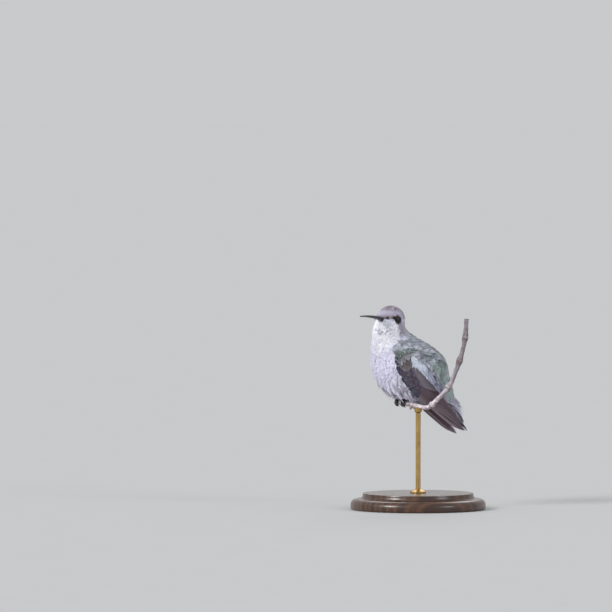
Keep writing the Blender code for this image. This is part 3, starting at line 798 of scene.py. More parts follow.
def make_feet():
    skin, claw = toe_material(), horn_material("claw_horn", linear(22, 20, 22), linear(52, 47, 48), 0.35)
    for side, share in FOOT_SHARES.items():
        reach = float(twig_radius(share)) + TOE_RADIUS + FINE_GAP
        add_lofted(f"shank_{side}", shank_rings(share, side, reach), 60, skin, "foot", f"leg_{side}")
        parts = [loft(rings) for rings in sole_rings(share, reach)]
        for label, spread, sweep in DIGITS:
            parts.append(loft(toe_rings(share, reach, spread, sweep)))
            hook = claw_rings(share, reach, spread, sweep)
            add_lofted(f"nail_{side}_{label}", hook, 60, claw, "claw", f"claw_{side}_{label}")
        points, faces = joined(parts)
        foot = add_mesh(f"toes_{side}", points, faces, crease=60)
        finish_piece(foot, skin, "foot", f"foot_{side}")


# The bill and the eyes


def bill_frame(share):
    """The bill's middle line, with its own up, and its half width and half height."""
    share = np.asarray(share, float)
    tilt = BILL_PITCH - HEAD_PITCH
    forward = HEAD_FORWARD * math.cos(tilt) + HEAD_UP * math.sin(tilt)
    up = HEAD_UP * math.cos(tilt) - HEAD_FORWARD * math.sin(tilt)
    sink = BILL_LENGTH * BILL_BEND * share * np.abs(share) / 2
    centre = BILL_BASE + forward * (BILL_LENGTH * share)[..., None] - up * sink[..., None]
    narrowing = np.maximum(share, 0) ** 0.8
    sizes = [base + (tip - base) * narrowing for base, tip in zip(BILL_BASE_HALF, BILL_TIP_HALF)]
    return centre, up, sizes[0], sizes[1]


HALF_GAPE = {1: 0.02, -1: 0.03}  # how far the upper and the lower half keep from the bill's middle line
LOWER_SIZE = 0.9  # the lower half's size to the upper one's
NOSTRIL_TURN = 0.82  # how far down the bill's side the slit lies, as an angle from its top
BILL_ROWS, BILL_ARC = 150, 19


def mandible_rings(sign):
    """The bill's upper half for sign 1, with its nostrils, or its lower half for -1."""
    share = np.linspace(-0.1, 0.998, BILL_ROWS)
    centre, up, wide, high = bill_frame(share)
    closing = np.sqrt(np.clip((1.0 - share) / 0.02, 0.02, 1))
    turn = np.linspace(0, math.pi, BILL_ARC)
    sharp = np.sign(np.cos(turn)) * np.abs(np.cos(turn)) ** 1.12
    aside = wide[:, None] * closing[:, None] * sharp
    lift = (high * closing)[:, None] * np.sin(turn) ** 0.92
    if sign > 0:
        along, about = share[:, None], np.abs(np.abs(turn - math.pi / 2) - NOSTRIL_TURN)[None, :]
        slit = band(along, 0.025, 0.15, 0.02) * np.exp(-((about / 0.13) ** 2))
        flap = band(along, 0.0, 0.16, 0.03) * np.exp(-(((about - 0.22) / 0.14) ** 2))
        lift = lift * (1 - 0.3 * slit + 0.05 * flap)
        aside = aside * (1 - 0.22 * slit + 0.04 * flap)
    else:
        aside, lift = aside * LOWER_SIZE, lift * LOWER_SIZE
    back = np.linspace(-1, 1, BILL_ARC)[1:-1]
    under_aside = (wide * closing * (1.0 if sign > 0 else LOWER_SIZE))[:, None] * back
    under_lift = np.full(under_aside.shape, HALF_GAPE[sign])
    aside = np.concatenate([aside, under_aside], 1)
    lift = np.concatenate([np.maximum(lift, HALF_GAPE[1]), under_lift], 1) * sign
    if sign < 0:
        aside, lift = aside[:, ::-1], lift[:, ::-1]
    rings = centre[:, None] + HEAD_LEFT * aside[..., None] + up * lift[..., None]
    return rings[:, ::-1]


def make_bill():
    """Two halves with a fine gape between them."""
    horn = horn_material("bill_horn", linear(22, 21, 27), linear(48, 48, 58), 0.3)
    for half, sign in (("upper", 1), ("lower", -1)):
        add_lofted(f"{half}_mandible", mandible_rings(sign), 50, horn, "bill", f"bill_{half}")


LID_OPENING = (1.26, 1.02, 1.08)  # half the eye opening's length, and its height above and below
LID_SHIFT = (0.24, -0.05)  # the opening's middle, ahead of and above the ball's
LID_REACH = 1.7  # how far the lids reach over the ball, from its middle


def eye_frame(side):
    """The eye's centre, and the ways out of it, ahead and up."""
    centre, outward = eye_place(side)
    up = unit(HEAD_UP - outward * dot(HEAD_UP, outward))
    ahead = np.cross(up, outward)
    return centre, outward, ahead * math.copysign(1, dot(ahead, HEAD_FORWARD)), up


# The lids' fold, from inside the opening round to under the coat: reach outwards and lift.
LID_FOLD = (
    *((-0.06, -0.25), (-0.05, 0.0), (-0.02, 0.07), (0.06, 0.12), (0.2, 0.12), (0.3, 0.06)),
    *((0.38, 0.05), (0.46, 0.09), (0.56, 0.07), (0.7, 0.04), (1.0, 0.02), (1.0, -0.3), (0.4, -0.3)),
)


def lid_rings(side, turns):
    """A closed fold from inside the eye's opening, over its rim and back along the ball under the coat."""
    centre, outward, ahead, up = eye_frame(side)
    across = LID_OPENING[0] + 0.14 * np.abs(np.cos(turns)) ** 8
    tall = np.where(np.sin(turns) > 0, LID_OPENING[1], LID_OPENING[2])
    opening = np.stack([across * np.cos(turns), tall * np.sin(turns)], -1)
    beads = 1 + 0.14 * np.sin(turns * 26)
    rings = []
    for reach, lift in LID_FOLD:
        flat = opening + np.array(LID_SHIFT)
        size = np.linalg.norm(flat, axis=-1, keepdims=True)
        flat = flat * (1 + (LID_REACH / size - 1) * reach)
        raised = EYE_RADIUS + lift * beads if 0 < lift < 0.2 else np.full(len(turns), EYE_RADIUS + lift)
        off = np.linalg.norm(flat, axis=-1)
        depth = np.sqrt(np.maximum(raised**2 - off**2, 0.01))
        rings.append(centre + flat[:, :1] * ahead + flat[:, 1:] * up + depth[:, None] * outward)
    return np.array(rings)


def eyeball_rings(side):
    """A ball with a slightly bulging cornea."""
    centre, outward, ahead, up = eye_frame(side)
    from_axis = np.linspace(0.02, math.pi - 0.02, 40)
    around = full_turn(64)
    bulge = 1 - 0.03 * (1 - np.exp(-((from_axis / 0.75) ** 2)))
    radius = (EYE_RADIUS * 0.985 * bulge)[:, None, None]
    circle = ahead * np.cos(around)[:, None] + up * np.sin(around)[:, None]
    ball = outward * np.cos(from_axis)[:, None, None] + circle[None] * np.sin(from_axis)[:, None, None]
    return centre + ball * radius


def make_eyes():
    """A wet dark ball on each side, under lids of bare skin."""
    for side in ("left", "right"):
        _, outward, ahead, up = eye_frame(side)
        order = -1 if dot(np.cross(ahead, up), outward) < 0 else 1
        points, faces = loft(eyeball_rings(side))
        faces = [shape[:, ::order] for shape in faces]
        eye = add_mesh(f"eyeball_{side}", points, faces, crease=180)
        finish_piece(eye, eye_material(side), "eye", f"eye_{side}")
        rings = lid_rings(side, full_turn(96))
        rows, columns = rings.shape[:2]
        faces = grid_faces(rows + 1, columns) % (rows * columns)
        lid = add_mesh(f"eyelid_{side}", rings.reshape(-1, 3), [faces[:, ::order]], crease=180)
        finish_piece(lid, lid_material(side), "crown_feathers")


# The wings' surface


def wing_face(side, s, c):
    """Points on the folded wing's outer face: s along it, c across from its leading edge."""
    s, c = np.broadcast_arrays(np.asarray(s, float), np.asarray(c, float))
    skew = np.minimum(s / ARM_END, (1 - s) / (1 - ARM_END)) * ARM_SKEW
    s = np.clip(s + skew * (0.5 - c), 0, 1)
    low, high = curve(LEADING_EDGE, s), curve(TRAILING_EDGE, s)
    found = low + (high - low) * c[..., None]
    bend, droop = np.array(LEADING_EDGE[0]), WING_DROOP[side]
    x, y, z = np.moveaxis(found - bend, -1, 0)
    turned = (x * math.cos(droop) + z * math.sin(droop), y, z * math.cos(droop) - x * math.sin(droop))
    found = bend + np.stack(turned, -1) + WING_SHIFT[side]
    found[..., 1] *= SIDE_SIGN[side]
    return found


def wing_place(side, s, c, depth=0.0):
    """Points at a depth under the wing's outer face, and the way out of it."""
    s, c = np.broadcast_arrays(np.asarray(s, float), np.asarray(c, float))
    step = 0.01
    run = wing_face(side, np.minimum(s + step, 1), c) - wing_face(side, np.maximum(s - step, 0), c)
    rise = wing_face(side, s, c + step) - wing_face(side, s, c - step)
    out = unit(np.cross(run, rise))
    out = out * np.where(out[..., 1:2] * SIDE_SIGN[side] < 0, -1.0, 1.0)
    return wing_face(side, s, c) - out * np.asarray(depth, float)[..., None], out


def wing_breadth(side, s):
    return np.linalg.norm(wing_face(side, s, 1.0) - wing_face(side, s, 0.0), axis=-1)


# Where things are on the bird, and its colours

UNDER = linear(230, 228, 248)
BELLY = linear(218, 213, 228)
DOWN = linear(138, 132, 142)
CROWN = linear(152, 143, 154)
FLECK = linear(84, 76, 84)
BROW = linear(205, 200, 222)
NAPE = linear(226, 223, 243)
MANTLE = linear(184, 188, 205)
GREEN = linear(160, 184, 175)
FRINGE = linear(212, 211, 216)
EAR = linear(170, 161, 175)
LORE = linear(40, 35, 42)
TAN = linear(150, 128, 112)
WHITE = linear(241, 242, 254)
FLANK_WHITE = linear(232, 240, 255)
FLANK = linear(172, 172, 194)
DUSK = linear(98, 81, 92)
DUSK_EDGE = linear(176, 160, 160)
SHAFT = linear(52, 42, 46)
SLATE = linear(70, 76, 98)
SHOULDER = linear(98, 114, 106)
COVERT_GREY = linear(116, 108, 112)
UNDER_TAIL = linear(214, 212, 230)
# The back's lower edge: how far out of the back it is, at places along the body.
BACK_LINE = np.array(
    (
        (-24.0, 3.6),
        (-17.0, 3.2),
        (-15.2, 2.2),
        (-14.6, -0.8),
        (-13.8, -2.8),
        (-12.0, -3.4),
        (-8.6, -3.2),
        (-4.2, 2.9),
        (0.0, 3.2),
        (3.5, 3.0),
        (7.0, 2.7),
        (14.0, 3.6),
        (26.0, 3.0),
    )
)
# The lower edge of the mantle's scaly feathers: how far along the body, at heights out of the back.
SCAPULAR_EDGE = np.array(((-1.5, -7.4), (2.8, -5.6), (5.9, -2.8), (8.0, 0.2), (11.0, 4.2)))


class Place:
    """Where points are: along the body, out of its back, aside; and ahead, aside, up on the head."""

    def __init__(self, points):
        self.points = points
        self.along, self.above = points @ TAILWARD, points @ BACKWARD
        self.aside = np.abs(points[..., 1])
        off = points - HEAD_CENTRE
        self.ahead, self.left, self.up = off @ HEAD_FORWARD, off @ HEAD_LEFT, off @ HEAD_UP
        fronts = [centre + outward * 1.2 for centre, outward in map(eye_place, ("left", "right"))]
        self.from_eye = np.min([np.linalg.norm(points - front, axis=-1) for front in fronts], axis=0)
        self.from_bill = np.linalg.norm(points - BILL_BASE, axis=-1)
        self.over_back_line = self.above - np.interp(self.along, *BACK_LINE.T)
        self.past_scapulars = self.along - np.interp(self.above, *SCAPULAR_EDGE.T)
        self.scapular_shadow = band(self.past_scapulars, 0.1, 1.2, 0.4) * band(self.above, -2.0, 10.5, 0.8)
        self.scapular_shadow *= band(self.along, -9.0, 5.0, 1.0)
        self.head = 1 - ease(self.along, -17.0, -13.5)
        self.back = ease(self.over_back_line, -1.5, 1.5)
        ear_line = 4.0 - 0.065 * (self.up + 1.5) ** 2
        self.ear = self.head * (1 - ease(self.ahead, ear_line - 1.5, ear_line + 1.3))
        self.ear = self.ear * band(self.up, -6.0, 0.1, 1.1)
        self.crown = self.head * ease(self.up, 0.3, 1.1)
        self.throat = (1 - self.back) * (1 - ease(self.along, -13.0, -8.0)) * (1 - self.crown)
        self.face = self.head * (1 - ease(self.from_bill, 5.5, 9.0)) * ease(self.up, -3.0, -1.0)
        self.belly = (1 - self.back) * ease(self.along, -3.0, 5.0)
        self.rump = self.back * ease(self.along, 6.0, 14.0)


def plumage(place):
    """The base colour and the sheen at each place."""
    p = place
    sides = np.abs(p.left)
    under = mix(UNDER, BELLY, p.belly * 0.8)
    flank = band(p.along, 3.5, 16.0, 2.5) * ease(p.above, -5.5, -1.0) * ease(p.aside, 4.0, 8.0)
    under = mix(under, FLANK, flank * 0.75)
    back = mix(MANTLE, GREEN, ease(p.along, -8.0, 3.0) * 0.6 + 0.3)
    back = mix(NAPE, back, ease(p.along, -17.5, -12.5))
    colour = mix(under, back, p.back)
    colour = mix(colour, SLATE, p.scapular_shadow * 0.6)
    colour = mix(colour, EAR, p.ear)
    colour = mix(colour, CROWN, p.crown)
    brow = p.head * band(p.up, 1.3, 3.1, 0.45) * band(p.ahead, 0.0, 9.0, 0.8)
    colour = mix(colour, BROW, brow * 0.65)
    cheek = p.head * ease(p.ahead, 3.4, 4.4) * (1 - ease(p.up, -0.9, -0.1))
    colour = mix(colour, WHITE, cheek)
    stripe = p.head * band(p.up, 0.3, 1.0, 0.18) * ease(sides, 0.5, 1.2)
    colour = mix(colour, LORE, stripe * ease(p.ahead, 5.7, 6.1))
    colour = mix(colour, TAN, stripe * band(p.ahead, 5.0, 5.7, 0.2))
    wedge = np.clip((p.ahead - 3.4) / 1.45, 0, 1)
    middle, half = 0.32 + 0.4 * wedge, 1.25 - 0.92 * wedge
    mask = p.head * ease(half - np.abs(p.up - middle), -0.15, 0.2) * band(p.ahead, 2.6, 4.9, 0.25)
    colour = mix(colour, LORE, mask * ease(sides, 2.0, 3.0))
    crescent = p.head * band(p.up, -1.6, 1.6, 0.4) * band(p.ahead, 0.0, 0.6, 0.28)
    colour = mix(colour, BROW, crescent * ease(sides, 3.0, 4.0) * 0.6)
    sheen = p.back * ease(p.along, -9.0, 3.0) * 0.25
    return colour, sheen


# The skin

FLESH = ("trunk", "neck", "head", "wing_left_arm", "wing_right_arm")
GROWTH = 0.28  # how far the parted solids are grown, so that they fuse
VOXEL = 0.4


def coat_depth(place):
    """How far the skin lies under the solids."""
    depth = 1.15 + 0.35 * place.belly - 0.15 * place.back + 0.25 * place.rump
    depth = depth + (0.85 - depth) * ease(place.throat, 0.2, 0.8)
    depth = depth + (0.7 - depth) * place.head
    depth = depth * (0.55 + 0.45 * ease(place.from_bill, 1.0, 5.0))
    depth = depth * (0.25 + 0.75 * ease(place.from_eye, 1.6, 3.4))
    for tree in ARM_TREES.values():
        found = [tree.find(point) for point in place.points]
        near, along = np.array([hit[2] for hit in found]), ARM_SHARES[[hit[1] for hit in found]]
        arm_depth = 0.5 + 1.3 * ease(along, 0.1, 0.21)
        depth = depth + (arm_depth - depth) * (1 - ease(near, 0.9, 1.6))
    return depth


def surface_tree(points):
    tree = KDTree(len(points))
    for i, point in enumerate(points):
        tree.insert(point, i)
    tree.balance()
    return tree


def arm_grid(side, start=0.0, low=0.0, high=1.0):
    """Points over the folded wing's arm, and how far along the wing each one is."""
    s, c = np.meshgrid(np.linspace(start, ARM_END, 60), np.linspace(low, high, 16), indexing="ij")
    return wing_face(side, s.ravel(), c.ravel()), s.ravel()


ARM_TREES = {side: surface_tree(arm_grid(side)[0]) for side in ("left", "right")}
ARM_SHARES = arm_grid("left")[1]


def evaluated(obj):
    """A new mesh of an object with its modifiers applied. The object is removed."""
    bpy.context.view_layer.update()
    mesh = bpy.data.meshes.new_from_object(obj.evaluated_get(bpy.context.evaluated_depsgraph_get()))
    bpy.data.objects.remove(obj, do_unlink=True)
    return mesh


def mesh_arrays(mesh):
    """A mesh's points, in millimetres from the body's middle, and its normals."""
    count = len(mesh.vertices)
    points, normals = np.empty(count * 3), np.empty(count * 3)
    mesh.vertices.foreach_get("co", points)
    mesh.vertices.foreach_get("normal", normals)
    return points.reshape(-1, 3) / MM - BODY_CENTRE, normals.reshape(-1, 3)


def set_points(mesh, points):
    mesh.vertices.foreach_set("co", to_world(points).astype(np.float32).ravel())
    mesh.update()


def with_modifiers(mesh, *settings):
    """The mesh that modifiers make of another one."""
    obj = linked("flesh", mesh)
    for kind, values in settings:
        modifier = obj.modifiers.new(kind, kind)
        for name, value in values.items():
            setattr(modifier, name, value)
    return evaluated(obj)


def grown_flesh():
    """The flesh's parted solids, each one grown a little, in one mesh."""
    bm = bmesh.new()
    for name in FLESH:
        part = bmesh.new()
        part.from_mesh(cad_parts[name].data)
        bmesh.ops.remove_doubles(part, verts=part.verts, dist=1e-6)
        bmesh.ops.recalc_face_normals(part, faces=part.faces)
        part.normal_update()
        for vertex in part.verts:
            vertex.co += vertex.normal * GROWTH * MM
        grown = bpy.data.meshes.new("grown")
        part.to_mesh(grown)
        part.free()
        bm.from_mesh(grown)
        bpy.data.meshes.remove(grown)
    mesh = bpy.data.meshes.new("flesh")
    bm.to_mesh(mesh)
    bm.free()
    return mesh


def make_skin():
    """The parted solids fused into one form, then moved in by the coat's depth."""
    fuse = ("REMESH", {"mode": "VOXEL", "voxel_size": VOXEL * MM})
    mesh = with_modifiers(grown_flesh(), fuse, ("SMOOTH", {"factor": 0.5, "iterations": 6}))
    points, normals = mesh_arrays(mesh)
    depth = coat_depth(Place(points)) + GROWTH
    set_points(mesh, points - normals * depth[:, None])
    mesh = with_modifiers(mesh, ("SMOOTH", {"factor": 0.5, "iterations": 5}))
    points, normals = mesh_arrays(mesh)
    colour, sheen = plumage(Place(points))
    tint(mesh, colour * 0.8, sheen * 0.6)
    mesh.shade_smooth()
    finish_piece(linked("skin", mesh), coat_material("skin_down", 2.4), "body_feathers", *FLESH)
    return points, normals, mesh


# The tufts

Kind = namedtuple("Kind", "spacing length width strips rounding ragged spread thick lift")
KINDS = {
    "face": Kind(0.36, 0.85, 0.62, 5, 0.34, 0.03, 0.02, 0.04, 1.0),
    "crown": Kind(0.46, 1.45, 1.00, 7, 0.36, 0.03, 0.03, 0.04, 1.0),
    "throat": Kind(0.52, 1.60, 1.15, 8, 0.36, 0.04, 0.04, 0.04, 1.0),
    "breast": Kind(0.62, 2.3, 1.35, 9, 0.30, 0.07, 0.09, 0.04, 1.0),
    "belly": Kind(0.66, 3.2, 1.30, 9, 0.14, 0.14, 0.20, 0.04, 1.06),
    "back": Kind(1.08, 3.0, 2.60, 14, 0.42, 0.03, 0.05, 0.05, 0.98),
    "rump": Kind(0.95, 3.3, 2.3, 13, 0.36, 0.05, 0.08, 0.05, 1.0),
    "wisps": Kind(0.95, 4.3, 1.05, 6, 0.12, 0.16, 0.13, 0.04, 1.7),
    "scapulars": Kind(1.25, 3.6, 2.7, 14, 0.40, 0.03, 0.05, 0.05, 1.28),
}
# Kinds that don't grow from the whole skin.
SHOULDER_KIND = Kind(0, 3.0, 1.6, 10, 0.4, 0.03, 0.05, 0.05, 1.0)
HOLLOW_KIND = Kind(0, 3.0, 2.6, 14, 0.42, 0.03, 0.05, 0.05, 1.0)
FLANK_KIND = Kind(0, 4.5, 1.5, 9, 0.16, 0.12, 0.15, 0.04, 1.0)
SKIRT_KIND = Kind(0, 4.5, 1.7, 8, 0.3, 0.08, 0.12, 0.05, 1.0)
# Where each strip of a tuft has its rows of corners, as shares of its length.
ROWS = (0.0, 0.48, 0.86)
FLANK_ROWS = (0.0, 0.3, 0.6, 0.84)
LONG_ROWS = (0.0, 0.2, 0.42, 0.64, 0.84)
PATCH = 0.003  # a tuft's width on the OFBake map


class Tufts:
    """Where a set of tufts lies: its foot on the surface at the root, half way and at the tip."""

    def __init__(self, feet, normals, rise, width, kind, curve_of_surface=0.04):
        self.feet, self.normals = feet, normals
        self.rise, self.width, self.kind = rise, width, kind
        self.bow = curve_of_surface
        self.count = len(feet[0])


def tuft_mesh(tufts, rng, rows=ROWS):
    """Each tuft is a fan of thin closed strips, rows of three corners that end in a point."""
    kind, n = tufts.kind, tufts.count
    k, r = kind.strips, len(rows)
    fan = np.linspace(-1, 1, k)
    ends = 1 - kind.rounding * fan**2 + rng.normal(0, kind.ragged, (n, k))
    share = np.append(rows, 1.0) * ends[..., None]
    u = share[..., None]
    weights = ((1 - u) * (1 - 2 * u), 4 * u * (1 - u), u * (2 * u - 1))
    slopes = (4 * u - 3, 4 - 8 * u, 4 * u - 1)
    foot = sum(w * p[:, None, None] for w, p in zip(weights, tufts.feet))
    ahead = sum(w * p[:, None, None] for w, p in zip(slopes, tufts.feet))
    out = unit(sum(w * p[:, None, None] for w, p in zip(weights, tufts.normals)))
    side = unit(np.cross(out, ahead))
    rise = tufts.rise[:, None, None]
    height = rise * (0.04 + 0.92 * np.clip(share, 0, None) ** 0.75)
    spread = rng.normal(0, kind.spread, (n, k, 1)) * share**2
    opening = 0.32 + 0.68 * np.sin(np.clip(share / 0.6, 0, 1) * math.pi / 2)
    aside = fan[None, :, None] * tufts.width[:, None, None] / 2 * opening + spread
    height = height - tufts.bow * aside**2 + rng.normal(0, 0.05, (n, k, 1)) * rise * share
    taper = np.append(np.interp(rows, (0.0, 0.5, 1.0), (0.5, 0.68, 0.5)), 0.0)
    half = tufts.width[:, None, None] / k * taper
    roll = rng.normal(0, 0.13, (n, k, 1)) * half
    middle = foot + side * aside[..., None] + out * height[..., None]
    first = middle - side * half[..., None] + out * roll[..., None]
    second = middle + side * half[..., None] - out * roll[..., None]
    below = middle - out * kind.thick
    corners = np.stack([first, second, below], 3)[:, :, :r].reshape(n, k, r * 3, 3)
    points = np.concatenate([corners, middle[:, :, r:]], 2)
    along = np.repeat(share[:, :, :r], 3, 2)
    along = np.concatenate([along, share[:, :, r:]], 2)
    row = np.arange(r - 1)[:, None] * 3
    quads = np.concatenate([row + (0, 3, 4, 1), row + (1, 4, 5, 2), row + (2, 5, 3, 0)])
    last, tip = (r - 1) * 3, r * 3
    threes = np.array([(0, 1, 2), (last, tip, last + 1), (last + 1, tip, last + 2), (last + 2, tip, last)])
    start = (np.arange(n * k) * (r * 3 + 1))[:, None, None]
    faces = [(quads + start).reshape(-1, 4), (threes + start).reshape(-1, 3)]
    sideways = np.broadcast_to(fan[None, :, None], along.shape)
    return points, faces, along, sideways


def tuft_colours(along, sideways, body, root, fringe, edge, fleck, sheen, rng):
    """Dark down at the root, the plumage's colour, a fleck in the middle and a pale fringe."""
    n, k = along.shape[:2]
    shade = mix(root[:, None, None], body[:, None, None], ease(along, 0.12, 0.55))
    sides = ease(np.abs(sideways), 0.7, 1.0) * ease(along, 0.3, 0.6)
    rim = np.clip(ease(along, 0.8, 1.0) + 0.7 * sides, 0, 1)
    shade = mix(shade, edge[:, None, None], rim * fringe[:, None, None])
    spot = band(along, 0.55, 0.86, 0.1) * (1 - ease(np.abs(sideways), 0.3, 0.8))
    shade = shade * (1 - 0.55 * spot * fleck[:, None, None])[..., None]
    uneven = rng.normal(1, 0.05, (n, 1, 1)) * rng.normal(1, 0.055, (n, k, 1))
    shade = np.clip(shade * uneven[..., None], 0.004, 0.95)
    shine = sheen[:, None, None] * (1 - rim * fringe[:, None, None]) * ease(along, 0.2, 0.5)
    return shade, shine


def unwrapped(points):
    """The body's own unwrap: round its bent axis, and along it."""
    place = Place(points)
    lift = 5.2 * (1 - ease(place.along, -24.0, -8.0))
    about = np.arctan2(points[..., 1], place.above - lift)
    return np.stack([about / (2 * math.pi) + 0.5, (place.along + 36.0) / 80.0], -1)


def bake_map(roots, along, sideways):
    """Each tuft as a small patch at its root's place."""
    centre = unwrapped(roots)[:, None, None]
    local = np.stack([np.broadcast_to(sideways, along.shape) * 0.5, along - 0.5], -1)
    return np.clip(centre, 0.004, 0.996) + local * PATCH


def add_coat(name, slot, material, sets, rng):
    """One object from several sets of tufts with their colours."""
    parts, shades, shines, places = [], [], [], []
    for tufts, paint, rows in sets:
        if not tufts.count:
            continue
        points, faces, along, sideways = tuft_mesh(tufts, rng, rows)
        shade, shine = tuft_colours(along, sideways, *paint, rng)
        parts.append((points.reshape(-1, 3), faces))
        shades.append(shade.reshape(-1, 3))
        shines.append(shine.ravel())
        places.append(bake_map(tufts.feet[0], along, sideways).reshape(-1, 2))
    points, faces = joined(parts)
    maps = {"OFBake": np.concatenate(places)}
    coat = add_mesh(name, points, faces, np.concatenate(shades), np.concatenate(shines), maps, crease=60)
    finish_piece(coat, material, slot)


# Where the tufts grow

# Slow waves that turn the feathers' lie a little: each one's direction and shift.
WANDER_WAVES = (
    ((1.5, 0.4, -0.9), 0.3),
    ((-0.7, 1.6, 0.8), 1.9),
    ((0.5, -0.9, 1.9), 4.0),
    ((2.3, 2.0, 0.6), 2.6),
)


def lie(place, normals, wander):
    """The way feathers lie: away from the bill over the head, then along the body."""
    points = place.points
    from_bill = unit(points - BILL_BASE + HEAD_FORWARD * 1.5)
    near = 1 - ease(np.linalg.norm(points - HEAD_CENTRE, axis=-1), 6.5, 12.5)
    flow = mix(np.broadcast_to(TAILWARD, points.shape), from_bill, near)
    flow = unit(flow - normals * dot(flow, normals)[:, None])
    turn = wander * sum(np.sin(points @ np.array(way) + shift) for way, shift in WANDER_WAVES)
    return flow * np.cos(turn)[:, None] + np.cross(normals, flow) * np.sin(turn)[:, None]


class Skin:
    """The skin as a surface to grow feathers from."""

    def __init__(self, points, normals, mesh):
        self.points, self.normals = points, normals
        mesh.calc_loop_triangles()
        corners = np.empty(len(mesh.loop_triangles) * 3, np.int32)
        mesh.loop_triangles.foreach_get("vertices", corners)
        self.triangles = corners.reshape(-1, 3)
        self.tree = BVHTree.FromPolygons(points.tolist(), self.triangles.tolist())

    def near(self, points):
        """The nearest points on the skin, with smooth normals."""
        found = [self.tree.find_nearest(point) for point in points]
        places = np.array([tuple(hit[0]) for hit in found])
        corners = self.triangles[[hit[2] for hit in found]]
        off = np.linalg.norm(self.points[corners] - places[:, None], axis=-1)
        weights = 1 / np.maximum(off, 0.02)
        normals = unit(np.sum(self.normals[corners] * weights[..., None], 1))
        return places, normals

    def sprinkled(self, count, rng):
        a, b, c = (self.points[self.triangles[:, i]] for i in range(3))
        area = np.linalg.norm(np.cross(b - a, c - a), axis=1) / 2
        pick = rng.choice(len(area), count, p=area / area.sum())
        first, second = rng.random(count), rng.random(count)
        over = first + second > 1
        first[over], second[over] = 1 - first[over], 1 - second[over]
        weights = np.stack([1 - first - second, first, second], 1)[..., None]
        corners = self.triangles[pick]
        return np.sum(self.points[corners] * weights, 1), unit(np.sum(self.normals[corners] * weights, 1))


def thinned_out(points, spacing):
    """Which points to keep so that each has its own spacing clear round it. Earlier ones go first."""
    tree = surface_tree(points)
    kept = np.ones(len(points), bool)
    for i, point in enumerate(points):
        if kept[i]:
            for _, other, _ in tree.find_range(point, spacing[i]):
                if other > i:
                    kept[other] = False
    return kept


class Obstacles:
    """What feathers keep clear of: the wings, the twig, the toes and the eyes."""

    def __init__(self):
        self.wings = {}
        for side in ("left", "right"):
            s, c = np.meshgrid(np.linspace(0.1, 1, 110), np.linspace(0, 1, 22), indexing="ij")
            face, out = wing_place(side, s.ravel(), c.ravel())
            self.wings[side] = (surface_tree(face), face, out, c.ravel())
        self.arms = [surface_tree(arm_grid(side, 0.03, 0.12, 0.84)[0]) for side in ("left", "right")]
        shares = np.linspace(0, 0.45, 160)
        self.twig = surface_tree(twig_point(shares))
        near_foot = [np.abs(shares - share) < 0.045 for share in FOOT_SHARES.values()]
        self.clear = twig_radius(shares) + np.where(near_foot[0] | near_foot[1], 1.15, 0.3)

    def wing_offsets(self, points):
        """How deep each point lies under the nearest wing, how far beside it, and where across."""
        best = np.full((len(points), 3), 99.0)
        for tree, face, out, across in self.wings.values():
            index = np.array([tree.find(point)[1] for point in points])
            off = face[index] - points
            depth = dot(off, out[index])
            beside = np.linalg.norm(off - out[index] * depth[:, None], axis=1)
            nearer = np.linalg.norm(off, axis=1) < np.hypot(best[:, 0], best[:, 1])
            found = np.stack([depth, beside, across[index]], 1)
            best = np.where(nearer[:, None], found, best)
        return best.T

    def under_wing(self, points):
        depth, beside, across = self.wing_offsets(points)
        return (depth > 0.3) & (depth < 8) & (beside < 0.55) & (across > 0.06) & (across < 0.94)

    def in_wing(self, points):
        depth, beside, _ = self.wing_offsets(points)
        return (depth > -0.12) & (depth < 2.7) & (beside < 0.5)

    def in_twig(self, points):
        found = [self.twig.find(point) for point in points]
        return np.array([distance < self.clear[index] for _, index, distance in found])

    @staticmethod
    def in_eye(points, margin):
        """Inside the eye's opening, grown by a factor."""
        inside = np.zeros(len(points), bool)
        for side in ("left", "right"):
            centre, outward, ahead, up = eye_frame(side)
            off = points - centre
            across = (dot(off, ahead) - LID_SHIFT[0]) / LID_OPENING[0]
            tall = (dot(off, up) - LID_SHIFT[1]) / LID_OPENING[1]
            inside |= (dot(off, outward) > -0.3) & (np.hypot(across, tall) < margin)
        return inside


def region_names(place, rng):
    """The kind of tuft at each place, with uneven edges between the kinds."""

    def stray(spread=0.12):
        return rng.normal(0, spread, len(place.points))

    names = np.full(len(place.points), "breast", object)
    names[ease(place.along, -8.0, 8.0) * (1 - place.back) + stray(0.2) > 0.5] = "belly"
    names[place.throat + stray(0.25) > 0.5] = "throat"
    names[place.back + stray() > 0.5] = "back"
    names[place.rump + stray() > 0.5] = "rump"
    covered = (place.crown > 0.5) | (place.ear > 0.5) | (place.back > 0.5)
    names[(place.head + stray() > 0.5) & covered] = "crown"
    names[(place.face + stray() > 0.5) | ((place.head > 0.5) & (place.from_eye < 2.6))] = "face"
    return names


def accent_names(place, rng):
    """Where wisps stand out of the belly, and where the mantle's larger feathers lie over the flank."""
    names = np.full(len(place.points), "", object)
    wispy = (1 - place.back) * ease(place.along, -6.0, 2.0) * (1 - ease(place.above, -4.0, 1.0))
    names[rng.random(len(names)) < wispy] = "wisps"
    edge = band(place.past_scapulars, -2.6, -1.0, 0.2) * band(place.above, -1.5, 10.5, 0.5)
    names[edge > 0.5] = "scapulars"
    return names


CANDIDATES = 110000
ACCENT_CANDIDATES = 16000
SKIRT_START = 16.5  # along the body, where the tail coverts take over
SHORTER_TRIES = (1.0, 0.55, 0.3)  # shares of its length, for a tuft that would meet an obstacle


